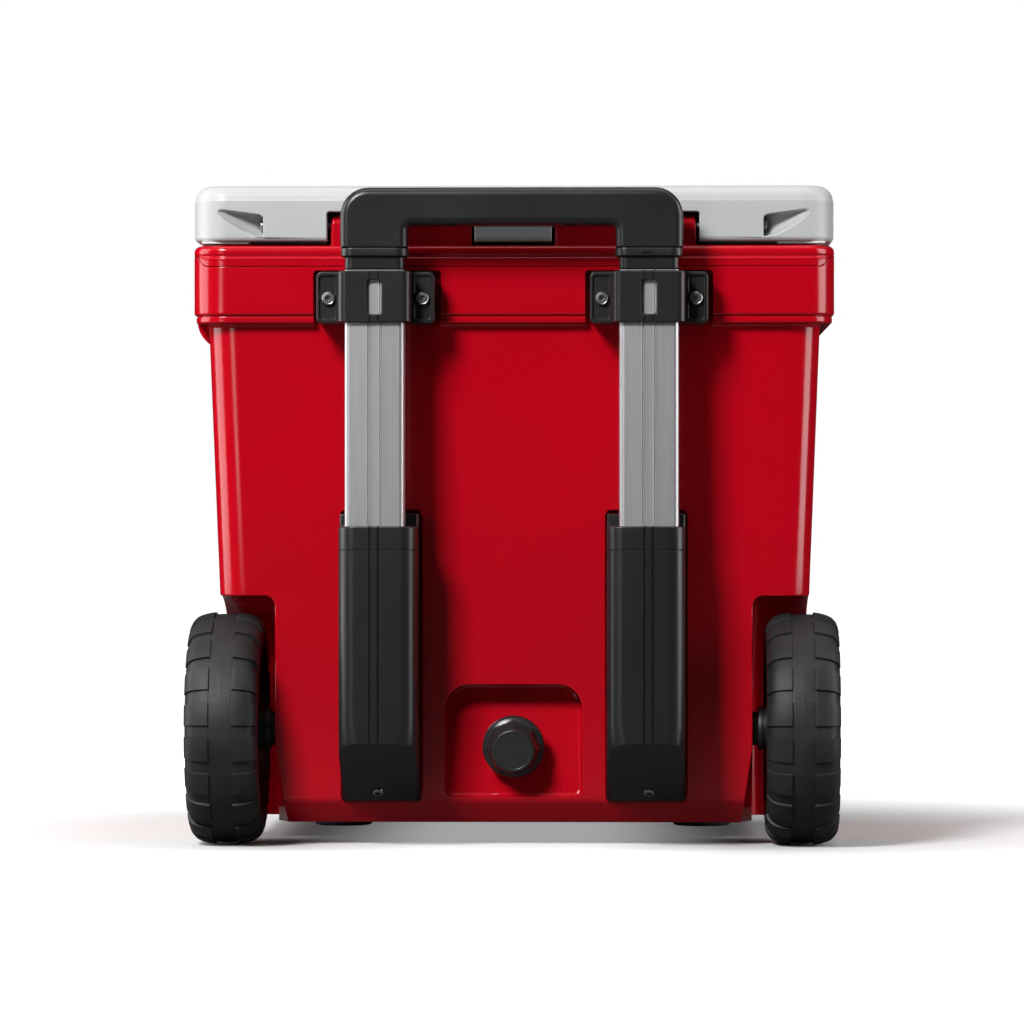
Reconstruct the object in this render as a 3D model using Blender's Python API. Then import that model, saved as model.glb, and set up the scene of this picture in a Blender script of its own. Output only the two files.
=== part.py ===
# Hard cooler on two wheels, with a hinged lid and a two-stage pull handle.
# Metres, +Z up. The handle side is -Y, and the origin is on the floor under the middle.
import math

import bmesh
import bpy
from mathutils import Matrix, Vector

for old in list(bpy.data.objects):
    bpy.data.objects.remove(old, do_unlink=True)

# Driving dimensions
GAP = 0.0003           # between pieces that touch
WALL = 0.0035          # moulded walls
SIDES = (("left", -1), ("right", 1))

# Tub: the body leans in towards its foot, and the rim stands out round its top
RIM_HALF = 0.2515
RIM_REAR = -0.1880
RIM_FRONT = 0.2220
RIM_RADIUS = 0.028
RIM_BOTTOM = 0.4095
RIM_OVERHANG = 0.0110
BODY_TAPER = 0.038
BODY_RADIUS = 0.024
BODY_BOTTOM = 0.0175
CHAMFER_TOP = 0.0350
CHAMFER_IN = 0.0120
SHELL_TOP = 0.4540
LEDGE_Z = 0.4610
RIM_TOP = 0.4710

# Hinge and lid
HINGE_Y = -0.1715
HINGE_Z = 0.4865
TOWER_X = (0.0315, 0.1440)
TOWER_R = 0.0085
TOWER_FRONT = -0.1520
LID_HALF = 0.2510
LID_REAR = -0.1860
LID_BOTTOM = 0.4735
LID_TOP = 0.5190
LID_SLOT_TOP = 0.4968
PIN_R = 0.0030
PIN_X = (0.0120, 0.1950)

# Liner and what fills the walls
LINER_HALF = 0.2080
LINER_REAR = -0.1450
LINER_FRONT = 0.1900
LINER_BOTTOM = 0.0700
LINER_WALL = 0.0030
LINER_LEAN = 0.0160     # how far its foot is in from its mouth
STEP_X = 0.1630
STEP_Y = -0.0120
STEP_Z = 0.2220
FLANGE_HALF = 0.2440

# Wheels
WHEEL_Y = -0.1430
WHEEL_R = 0.0915
WHEEL_IN = 0.1975
WHEEL_OUT = 0.2552
TYRE_SEAT_R = 0.0660
WELL_X = 0.1875
WELL_R = 0.1045
AXLE_R = 0.0060

# Pull handle
TUBE_X = 0.1063
TUBE_Y = -0.2200
OUTER_SIZE = (0.0462, 0.0250)
MIDDLE_SIZE = (0.0420, 0.0208)
INNER_SIZE = (0.0380, 0.0168)
TUBE_WALL = 0.0015
TUBE_TOP = 0.4495
OUTER_LOW = 0.0920
MIDDLE_LOW = 0.1050
INNER_LOW = 0.1180
BRACKET_Z = (0.4084, 0.4487)
BRACKET_HALF = 0.0459
BRACKET_REAR = -0.2370
FLANGE_REAR = -0.2140
POCKET_Y = -0.1770
HOUSING_X = (0.0735, 0.1345)
HOUSING_Z = (0.0380, 0.2510)
HOUSING_POCKET_Y = -0.1600
COLLAR_Z = (0.4500, 0.4665)
GRIP_Z = (0.4668, 0.5132)
GRIP_BAR_Z = 0.4837
GRIP_HALF = 0.1327
GRIP_IN = 0.0807
GRIP_Y = (-0.2355, -0.2050)

# Drain
DRAIN_Z = 0.0780
DRAIN_TILT = math.radians(8)
DRAIN_TIP_Y = -0.1680
RECESS_HALF = 0.0520
RECESS_Z = (0.0400, 0.1260)
RECESS_TOP_DEPTH = 0.0240
RECESS_FOOT_DEPTH = 0.0040

# Front latches and feet
LATCH_X = 0.1650
LATCH_Y = 0.2290
LATCH_Z = 0.5000
FOOT_X = 0.1500
FOOT_Y = 0.1300
FOOT_R = 0.0240


def finish(name, colour, roughness, metallic=0.0):
    material = bpy.data.materials.new(name)
    material.use_nodes = True
    shader = material.node_tree.nodes["Principled BSDF"]
    shader.inputs["Base Color"].default_value = (*colour, 1)
    shader.inputs["Roughness"].default_value = roughness
    shader.inputs["Metallic"].default_value = metallic
    return material


RED = finish("red gloss plastic", (0.50, 0.001, 0.010), 0.2)
GREY = finish("light grey gloss plastic", (0.70, 0.70, 0.71), 0.3)
WHITE = finish("white liner plastic", (0.80, 0.80, 0.78), 0.35)
BLACK = finish("black plastic", (0.028, 0.028, 0.029), 0.5)
ALUMINIUM = finish("anodised aluminium", (0.55, 0.55, 0.56), 0.35, 1.0)
STEEL = finish("steel", (0.50, 0.50, 0.50), 0.3, 1.0)
RUBBER = finish("tyre rubber", (0.035, 0.035, 0.036), 0.8)
SOFT_BLACK = finish("soft black rubber", (0.015, 0.015, 0.015), 0.7)
FOAM = finish("yellow foam", (0.75, 0.62, 0.30), 0.9)


# Mesh makers. Each gives a closed bmesh in the object's own frame.
def close(mesh):
    bmesh.ops.recalc_face_normals(mesh, faces=mesh.faces)
    return mesh


def loft(rings, looped=False):
    """Rings of equal length joined in order, capped at both ends unless looped."""
    mesh = bmesh.new()
    verts = [[mesh.verts.new(point) for point in ring] for ring in rings]
    pairs = list(zip(verts, verts[1:] + verts[:1] if looped else verts[1:]))
    for low, high in pairs:
        for k in range(len(low)):
            n = (k + 1) % len(low)
            mesh.faces.new((low[k], low[n], high[n], high[k]))
    if not looped:
        mesh.faces.new(verts[0])
        mesh.faces.new(verts[-1])
    return close(mesh)


def along(axis, height, u, v):
    """The point at this height on the axis, with u and v on the next two axes."""
    point = [0, 0, 0]
    first = "XYZ".index(axis)
    point[first] = height
    point[(first + 1) % 3] = u
    point[(first + 2) % 3] = v
    return tuple(point)


def prism(outline, axis, low, high):
    return loft([[along(axis, h, u, v) for u, v in outline] for h in (low, high)])


def rounded(u_low, u_high, v_low, v_high, radius, steps=4):
    """A rectangle's outline with round corners."""
    points = []
    corners = (
        (u_high - radius, v_high - radius, 0),
        (u_low + radius, v_high - radius, 90),
        (u_low + radius, v_low + radius, 180),
        (u_high - radius, v_low + radius, 270),
    )
    for u, v, start in corners:
        for k in range(steps + 1):
            angle = math.radians(start + 90 * k / steps)
            points.append((u + radius * math.cos(angle), v + radius * math.sin(angle)))
    return points


def block(low, high):
    outline = [(low[0], low[1]), (high[0], low[1]), (high[0], high[1]), (low[0], high[1])]
    return prism(outline, "Z", low[2], high[2])


def turned(profile, axis, centre, steps=32):
    """A closed profile of (radius, height) pairs, all off the axis, turned round it."""
    first = "XYZ".index(axis)
    rings = []
    for k in range(steps):
        angle = 2 * math.pi * k / steps
        ring = []
        for radius, height in profile:
            u = centre[(first + 1) % 3] + radius * math.cos(angle)
            v = centre[(first + 2) % 3] + radius * math.sin(angle)
            ring.append(along(axis, height, u, v))
        rings.append(ring)
    return loft(rings, looped=True)


def rod(axis, centre, radius, low, high, steps=24):
    first = "XYZ".index(axis)
    outline = []
    for k in range(steps):
        angle = 2 * math.pi * k / steps
        u = centre[(first + 1) % 3] + radius * math.cos(angle)
        v = centre[(first + 2) % 3] + radius * math.sin(angle)
        outline.append((u, v))
    return prism(outline, axis, low, high)


def tube_outline(size, grow=0.0):
    """Half sizes of a flat tube, made larger all round by grow."""
    return size[0] / 2 + grow, size[1] / 2 + grow


def flat_bar(sign, size, low, high, grow=0.0, radius=0.004):
    half_x, half_y = tube_outline(size, grow)
    x = sign * TUBE_X
    outline = rounded(x - half_x, x + half_x, TUBE_Y - half_y, TUBE_Y + half_y, radius, 2)
    return prism(outline, "Z", low, high)


# Objects. A part is a node, and a cutter is a hidden helper.
def put(name, mesh):
    data = bpy.data.meshes.new(name)
    mesh.to_mesh(data)
    mesh.free()
    obj = bpy.data.objects.new(name, data)
    bpy.context.scene.collection.objects.link(obj)
    return obj


def part(name, mesh, material, pivot=None):
    if pivot:
        mesh.transform(Matrix.Translation(-pivot.location))
    obj = put(name, mesh)
    obj.parent = pivot
    obj.data.materials.append(material)
    obj.data.shade_smooth()
    obj.data.set_sharp_from_angle(angle=math.radians(30))
    return obj


def helper(name, mesh):
    obj = put(name, mesh)
    obj.hide_render = True
    obj.display_type = "WIRE"
    return obj


def combine(obj, other, operation):
    modifier = obj.modifiers.new(other.name, "BOOLEAN")
    modifier.operation = operation
    modifier.object = other
    return obj


def cut(obj, *meshes):
    for mesh in meshes:
        combine(obj, helper(obj.name + " cutter", mesh), "DIFFERENCE")
    return obj


def add(obj, *meshes):
    for mesh in meshes:
        combine(obj, helper(obj.name + " addition", mesh), "UNION")
    return obj


def pivot_at(name, place):
    empty = bpy.data.objects.new(name, None)
    empty.location = place
    bpy.context.scene.collection.objects.link(empty)
    return empty


def drain_place(mesh):
    """Moves a mesh made along Z, outside towards -Z, onto the drain's tilted axis."""
    turn = Matrix.Rotation(DRAIN_TILT - math.radians(90), 4, "X")
    mesh.transform(Matrix.Translation((0, DRAIN_TIP_Y, DRAIN_Z)) @ turn)
    return mesh


# The tub, as its outer face moved in by inset
def section(z, inset, rim):
    out = RIM_OVERHANG if rim else -(RIM_BOTTOM - z) * BODY_TAPER
    out = out - RIM_OVERHANG - inset
    radius = RIM_RADIUS if rim else BODY_RADIUS
    outline = rounded(
        -RIM_HALF - out, RIM_HALF + out, RIM_REAR - out, RIM_FRONT + out, radius - inset
    )
    return [(x, y, z) for x, y in outline]


def well(sign, inset):
    """The wheel's space, larger by inset: a flat roof behind the wheel and an arc before it."""
    radius = WELL_R + inset
    outline = [(-0.300, -0.050), (-0.300, WHEEL_R + radius), (WHEEL_Y, WHEEL_R + radius)]
    for k in range(1, 9):
        angle = math.radians(90 - 90 * k / 8)
        y = WHEEL_Y + radius * math.cos(angle)
        outline.append((y, WHEEL_R + radius * math.sin(angle)))
    outline.append((WHEEL_Y + radius, -0.050))
    ends = sorted((sign * (WELL_X - inset), sign * 0.320))
    return prism(outline, "X", *ends)


def drain_recess(inset):
    """The space round the drain, deepest at its top, with a sloping floor."""
    low, high = RECESS_Z[0] - inset, RECESS_Z[1] + inset
    half = RECESS_HALF + inset
    outline = rounded(low, high, -half, half, 0.012)
    rings = []
    for y in (None, -0.230):
        ring = []
        for z, x in outline:
            share = (z - low) / (high - low)
            depth = RECESS_FOOT_DEPTH + (RECESS_TOP_DEPTH - RECESS_FOOT_DEPTH) * share
            floor = RIM_REAR + RIM_OVERHANG + (RIM_BOTTOM - z) * BODY_TAPER + depth + inset
            ring.append((x, floor if y is None else y, z))
        rings.append(ring)
    return loft(rings)


def housing_pocket(sign, inset):
    x_low, x_high = sorted((sign * HOUSING_X[0], sign * HOUSING_X[1]))
    grow = inset + 0.0012
    outline = rounded(
        HOUSING_Z[0] - grow, 0.2620 + grow, x_low - grow, x_high + grow, 0.004, 2
    )
    return prism(outline, "Y", -0.230, HOUSING_POCKET_Y + inset)


def bracket_pocket(sign, inset):
    x = sign * TUBE_X
    half = BRACKET_HALF + 0.0030 + inset
    return block(
        (x - half, -0.230, 0.3980),
        (x + half, POCKET_Y + inset, SHELL_TOP - 0.0030 + inset),
    )


def tub(name, inset, top):
    """A solid block of the tub's outer form, with everything that is sunk into it."""
    bottom = BODY_BOTTOM + inset
    rings = [
        section(bottom, inset + CHAMFER_IN, False),
        section(CHAMFER_TOP, inset, False),
        section(RIM_BOTTOM + inset, inset, False),
        section(RIM_BOTTOM + inset, inset, True),
        section(top, inset, True),
    ]
    obj = helper(name, loft(rings))
    cut(obj, drain_recess(inset))
    for _, sign in SIDES:
        cut(obj, well(sign, inset), housing_pocket(sign, inset), bracket_pocket(sign, inset))
    return obj


def screw_spots(sign):
    return [sign * TUBE_X - 0.0366, sign * TUBE_X + 0.0366]


def drain_core(radius, low, high, steps=32):
    return drain_place(rod("Z", (0, 0, 0), radius, low, high, steps))


def outer_shell():
    shell = tub("outer_shell", 0, SHELL_TOP)
    shell.hide_render = False
    shell.display_type = "TEXTURED"
    shell.data.materials.append(RED)
    combine(shell, tub("tub inside", WALL, 0.470), "DIFFERENCE")
    add(shell, drain_core(0.0230, 0.0045, 0.0235))
    cut(shell, drain_core(0.0153, -0.0300, 0.0400, 28))
    for _, sign in SIDES:
        cut(shell, rod("X", (0, WHEEL_Y, WHEEL_R), AXLE_R + GAP, *sorted((sign * 0.17, sign * 0.20))))
        for x in screw_spots(sign):
            cut(shell, rod("Y", (x, 0, 0.4280), 0.0028, -0.230, -0.160, 12))


def top_frame():
    """The ring on the shell: a bead round the rim, a ledge inside it and the hinge towers."""
    levels = ((SHELL_TOP + GAP, 0), (RIM_TOP - 0.003, 0), (RIM_TOP, 0.002))
    frame = part("top_frame", loft([section(z, i, True) for z, i in levels]), RED)
    opening = rounded(-0.2115, 0.2115, -0.1465, 0.1935, 0.020)
    ledge = rounded(-FLANGE_HALF - 0.0006, FLANGE_HALF + 0.0006, -0.1845, 0.2150, 0.022)
    cut(frame, prism(opening, "Z", 0.440, 0.490), prism(ledge, "Z", LEDGE_Z, 0.490))
    for _, sign in SIDES:
        outline = [(HINGE_Y - TOWER_R, 0.4570), (TOWER_FRONT, 0.4570), (TOWER_FRONT, HINGE_Z)]
        for k in range(1, 9):
            angle = math.radians(20 + 160 * k / 8)
            y = HINGE_Y + TOWER_R * math.cos(angle)
            outline.append((y, HINGE_Z + TOWER_R * math.sin(angle)))
        add(frame, prism(outline, "X", *sorted((sign * TOWER_X[0], sign * TOWER_X[1]))))
        bore = sorted((sign * 0.020, sign * 0.160))
        cut(frame, rod("X", (0, HINGE_Y, HINGE_Z), PIN_R + GAP, *bore, 16))


def liner_levels(grow, bottom, top):
    rings = []
    for z in (bottom, top):
        lean = LINER_LEAN * (LEDGE_Z - z) / (LEDGE_Z - LINER_BOTTOM)
        outline = rounded(
            -LINER_HALF - grow + lean,
            LINER_HALF + grow - lean,
            LINER_REAR - grow + lean,
            LINER_FRONT + grow - lean,
            0.018 + grow,
        )
        rings.append([(x, y, z) for x, y in outline])
    return loft(rings)


def liner_form(name, grow, bottom, top):
    """The liner's outer form made larger by grow, stepped in over the wheels."""
    form = helper(name, liner_levels(grow, bottom, top))
    for _, sign in SIDES:
        x_low, x_high = sorted((sign * (STEP_X + grow), sign * 0.300))
        cut(form, block((x_low, -0.300, 0.0), (x_high, STEP_Y - grow, STEP_Z - grow)))
    return form


def inner_liner():
    liner = liner_form("inner_liner", 0, LINER_BOTTOM, LEDGE_Z + 0.002)
    liner.hide_render = False
    liner.display_type = "TEXTURED"
    liner.data.materials.append(WHITE)
    flange = rounded(-FLANGE_HALF, FLANGE_HALF, -0.1495, 0.2140, 0.021)
    add(liner, prism(flange, "Z", LEDGE_Z + GAP, 0.4645))
    for _, sign in SIDES:
        x_low, x_high = sorted((sign * 0.2150, sign * FLANGE_HALF))
        lip = rounded(x_low, x_high, -0.1490, 0.2000, 0.010)
        add(liner, prism(lip, "Z", 0.4630, 0.4728))
    inside = liner_form("liner inside", -LINER_WALL, LINER_BOTTOM + LINER_WALL, 0.480)
    combine(liner, inside, "DIFFERENCE")
    cut(liner, drain_core(0.0126, -0.0300, 0.0800))


def foam_core():
    """The rigid foam between shell and liner, open at the top."""
    foam = tub("foam_core", WALL + GAP, SHELL_TOP - 0.0005)
    foam.hide_render = False
    foam.display_type = "TEXTURED"
    foam.data.materials.append(FOAM)
    combine(foam, liner_form("liner space", GAP, LINER_BOTTOM - GAP, 0.470), "DIFFERENCE")
    cut(foam, drain_core(0.0310, -0.0400, 0.0800))
    for _, sign in SIDES:
        axle = sorted((sign * 0.160, sign * 0.200))
        cut(foam, rod("X", (0, WHEEL_Y, WHEEL_R), 0.0125, *axle))
        for x in screw_spots(sign):
            cut(foam, rod("Y", (x, 0, 0.4280), 0.0030, -0.230, -0.1560, 12))


def feet():
    for side, sign in SIDES:
        centre = (sign * FOOT_X, FOOT_Y, 0)
        profile = [(0.003, 0), (FOOT_R - 0.002, 0), (FOOT_R, 0.003), (FOOT_R, BODY_BOTTOM - GAP)]
        profile.append((0.003, BODY_BOTTOM - GAP))
        part("foot_" + side, turned(profile, "Z", centre, 28), SOFT_BLACK)


# Wheels
def wheel(side, sign):
    centre = (0, WHEEL_Y, WHEEL_R)
    pivot = pivot_at("wheel_pivot_" + side, (0, WHEEL_Y, WHEEL_R))

    def spun(name, profile, material, steps, parent=pivot):
        points = [(radius, sign * x) for radius, x in profile]
        return part(name, turned(points, "X", centre, steps), material, parent)

    tread = [(WHEEL_R - 0.0130, WHEEL_OUT), (WHEEL_R - 0.0035, WHEEL_OUT - 0.0040)]
    tread += [(WHEEL_R, WHEEL_OUT - 0.0160), (WHEEL_R, WHEEL_IN + 0.0160)]
    tread += [(WHEEL_R - 0.0035, WHEEL_IN + 0.0040), (WHEEL_R - 0.0130, WHEEL_IN)]
    tread += [(TYRE_SEAT_R + GAP, WHEEL_IN + 0.0040), (TYRE_SEAT_R + GAP, WHEEL_OUT - 0.0040)]
    spun("tyre_" + side, tread, RUBBER, 48)

    hub_in, hub_out = 0.2024, 0.2470
    web_in, web_out = 0.2230, 0.2310
    rim = [(TYRE_SEAT_R, WHEEL_OUT - 0.0045), (TYRE_SEAT_R - 0.0045, WHEEL_OUT - 0.0045)]
    rim += [(TYRE_SEAT_R - 0.0065, web_out), (0.0225, web_out), (0.0215, hub_out)]
    rim += [(0.0096, hub_out), (0.0096, hub_in), (0.0215, hub_in), (0.0225, web_in)]
    rim += [(TYRE_SEAT_R - 0.0065, web_in), (TYRE_SEAT_R - 0.0045, WHEEL_IN + 0.0045)]
    rim += [(TYRE_SEAT_R, WHEEL_IN + 0.0045)]
    rim_part = spun("wheel_rim_" + side, rim, BLACK, 40)
    for k in range(6):
        angle = math.radians(60 * k)
        y = WHEEL_Y + 0.0410 * math.cos(angle)
        z = WHEEL_R + 0.0410 * math.sin(angle)
        ends = sorted((sign * 0.215, sign * 0.240))
        cut(rim_part, rod("X", (0, y, z), 0.0125, *ends, 12))

    bush = [(AXLE_R + GAP, hub_in), (0.0093, hub_in), (0.0093, hub_out), (AXLE_R + GAP, hub_out)]
    spun("wheel_bush_" + side, bush, WHITE, 24)
    cap = [(0.0010, 0.2500), (0.0175, 0.2500), (0.0175, 0.2473), (0.0200, 0.2473)]
    cap += [(0.0200, 0.2520), (0.0160, 0.2535), (0.0010, 0.2535)]
    spun("wheel_cap_" + side, cap, BLACK, 28)

    spacer = [(AXLE_R + GAP, WELL_X + GAP), (0.0135, WELL_X + GAP), (0.0135, 0.1918)]
    spacer += [(0.0175, 0.1918), (0.0175, 0.2020), (AXLE_R + GAP, 0.2020)]
    spun("hub_spacer_" + side, spacer, BLACK, 28, None)
    axle_in, axle_out = 0.1700, 0.2490
    axle = [(0.0005, axle_in), (0.0100, axle_in), (0.0100, axle_in + 0.0050)]
    axle += [(AXLE_R, axle_in + 0.0050), (AXLE_R, axle_out - 0.0016), (0.0085, axle_out - 0.0016)]
    axle += [(0.0085, axle_out), (0.0005, axle_out)]
    spun("stub_axle_" + side, axle, STEEL, 24, None)


# Pull handle
def fixed_handle_parts(side, sign):
    x = sign * TUBE_X
    outer = part("outer_tube_" + side, flat_bar(sign, OUTER_SIZE, OUTER_LOW, TUBE_TOP), ALUMINIUM)
    cut(outer, flat_bar(sign, OUTER_SIZE, OUTER_LOW - 0.01, TUBE_TOP + 0.01, -TUBE_WALL, 0.0025))

    half = BRACKET_HALF
    hump = 0.0283
    outline = [(x - half, POCKET_Y - GAP), (x - half, FLANGE_REAR), (x - hump, FLANGE_REAR)]
    outline += [(x - hump, BRACKET_REAR + 0.006), (x - hump + 0.006, BRACKET_REAR)]
    outline += [(x + hump - 0.006, BRACKET_REAR), (x + hump, BRACKET_REAR + 0.006)]
    outline += [(x + hump, FLANGE_REAR), (x + half, FLANGE_REAR), (x + half, POCKET_Y - GAP)]
    bracket = part("clamp_bracket_" + side, prism(outline, "Z", *BRACKET_Z), BLACK)
    cut(bracket, flat_bar(sign, OUTER_SIZE, 0.400, 0.460, GAP))
    cut(bracket, block((x - 0.006, -0.245, 0.4150), (x + 0.006, -0.225, 0.4415)))
    for spot, centre in zip(("outer", "inner"), sorted(screw_spots(sign), key=abs, reverse=True)):
        cut(bracket, rod("Y", (centre, 0, 0.4280), 0.0028, -0.230, -0.170, 12))
        head = [(0.0005, FLANGE_REAR - 0.0030), (0.0040, FLANGE_REAR - 0.0030)]
        head += [(0.0048, FLANGE_REAR - 0.0020), (0.0048, FLANGE_REAR - GAP)]
        head += [(0.0025, FLANGE_REAR - GAP), (0.0025, -0.1580), (0.0005, -0.1580)]
        place = (centre, 0, 0.4280)
        part(f"bracket_screw_{side}_{spot}", turned(head, "Y", place, 16), STEEL)

    x_low, x_high = sorted((sign * HOUSING_X[0], sign * HOUSING_X[1]))
    rear = BRACKET_REAR + 0.0005
    front = HOUSING_POCKET_Y - GAP
    outline = [(x_low, front), (x_high, front), (x_high, rear + 0.010), (x_high - 0.003, rear + 0.003)]
    outline += [(x_high - 0.010, rear), (x_low + 0.010, rear), (x_low + 0.003, rear + 0.003)]
    outline += [(x_low, rear + 0.010)]
    housing = part("tube_housing_" + side, prism(outline, "Z", HOUSING_Z[0], 0.2605), BLACK)
    cut(housing, block((x_low - 0.01, -0.250, HOUSING_Z[1]), (x_high + 0.01, -0.2060, 0.280)))
    cut(housing, flat_bar(sign, OUTER_SIZE, OUTER_LOW - GAP, 0.280, GAP))
    foot_cut = [(-0.260, 0.0980), (-0.1615, 0.0370), (-0.1615, 0.020), (-0.260, 0.020)]
    cut(housing, prism(foot_cut, "X", x_low - 0.01, x_high + 0.01))
    screw_y = -0.1750
    screw_z = 0.0980 - (screw_y + 0.260) * (0.0980 - 0.0370) / (0.260 - 0.1615)
    screw = [(0.0005, screw_z - 0.0020), (0.0045, screw_z - 0.0020), (0.0045, screw_z + 0.0060)]
    screw += [(0.0005, screw_z + 0.0060)]
    place = (x, screw_y, 0)
    cut(housing, rod("Z", place, 0.0048, 0.020, screw_z + 0.0063, 16))
    part("housing_screw_" + side, turned(screw, "Z", place, 16), STEEL)


def stage_tube(name, sign, size, low, pivot):
    mesh = flat_bar(sign, size, low, TUBE_TOP)
    obj = part(name, mesh, ALUMINIUM, pivot)
    cut(obj, flat_bar(sign, size, low - 0.01, TUBE_TOP + 0.01, -TUBE_WALL, 0.0020))


def handle():
    middle = pivot_at("handle_middle_slide", (0, TUBE_Y, TUBE_TOP))
    upper = pivot_at("handle_upper_slide", (0, TUBE_Y, COLLAR_Z[1]))
    for side, sign in SIDES:
        fixed_handle_parts(side, sign)
        stage_tube("middle_tube_" + side, sign, MIDDLE_SIZE, MIDDLE_LOW, middle)
        stage_tube("inner_tube_" + side, sign, INNER_SIZE, INNER_LOW, upper)
        collar_mesh = flat_bar(sign, OUTER_SIZE, COLLAR_Z[0], 0.4600, 0, 0.006)
        collar = part("collar_" + side, collar_mesh, BLACK, upper)
        add(collar, flat_bar(sign, OUTER_SIZE, 0.4595, COLLAR_Z[1], 0.0030, 0.007))
        cut(collar, rod("Z", (sign * TUBE_X, TUBE_Y, 0), 0.0040, 0.440, 0.480, 16))
    grip(upper)
    release(pivot_at("release_button_slide", (0, TUBE_Y, GRIP_Z[1])))


def grip(pivot):
    y_low, y_high = GRIP_Y
    outline = [(-GRIP_HALF, GRIP_Z[0]), (-GRIP_IN, GRIP_Z[0])]
    outline += [(-GRIP_IN, GRIP_BAR_Z - 0.003), (-GRIP_IN + 0.003, GRIP_BAR_Z)]
    outline += [(-u, v) for u, v in reversed(outline)]
    corner = 0.022
    for start, side in ((0, 1), (90, -1)):
        for k in range(7):
            angle = math.radians(start + 15 * k)
            x = side * (GRIP_HALF - corner) + corner * math.cos(angle)
            outline.append((x, GRIP_Z[1] - corner + corner * math.sin(angle)))
    swapped = [(v, u) for u, v in outline]
    bar = part("grip", prism(swapped, "Y", y_low, y_high), BLACK, pivot)
    bevel = bar.modifiers.new("round edges", "BEVEL")
    bevel.width = 0.006
    bevel.segments = 2
    bevel.limit_method = "ANGLE"
    bevel.angle_limit = math.radians(60)
    channel = block((-0.1110, TUBE_Y - 0.0060, 0.4915), (0.1110, TUBE_Y + 0.0060, 0.5030))
    cut(bar, channel, block((-0.0187, TUBE_Y - 0.0090, 0.4975), (0.0187, TUBE_Y + 0.0090, 0.520)))
    for _, sign in SIDES:
        cut(bar, rod("Z", (sign * TUBE_X, TUBE_Y, 0), 0.0040, 0.460, 0.4930, 16))


def release(pivot):
    """The button, the yoke under it and the two rods that it pushes down the inner tubes."""
    button_mesh = block((-0.0183, TUBE_Y - 0.0086, 0.5034), (0.0183, TUBE_Y + 0.0086, 0.5129))
    part("release_button", button_mesh, BLACK, pivot)
    yoke_mesh = block((-0.1095, TUBE_Y - 0.0050, 0.4990), (0.1095, TUBE_Y + 0.0050, 0.5025))
    part("release_yoke", yoke_mesh, SOFT_BLACK, pivot)
    for side, sign in SIDES:
        rod_mesh = rod("Z", (sign * TUBE_X, TUBE_Y, 0), 0.0030, 0.2000, 0.4987, 12)
        part("release_rod_" + side, rod_mesh, STEEL, pivot)
    turns, steps, wire, radius = 3, 12, 0.0004, 0.0030
    low, high = 0.4925, 0.4980
    rings = []
    for k in range(turns * steps + 1):
        angle = 2 * math.pi * k / steps
        z = low + (high - low) * k / (turns * steps)
        outward = Vector((math.cos(angle), math.sin(angle), 0))
        centre = Vector((0, TUBE_Y, z)) + outward * radius
        ring = []
        for n in range(6):
            turn = 2 * math.pi * n / 6
            ring.append(centre + outward * wire * math.cos(turn) + Vector((0, 0, wire * math.sin(turn))))
        rings.append(ring)
    part("button_spring", loft(rings), STEEL, bpy.data.objects["handle_upper_slide"])


# Lid
def lid_block(half, rear, front, low, high, radius):
    return prism(rounded(-half, half, rear, front, radius), "Z", low, high)


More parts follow.
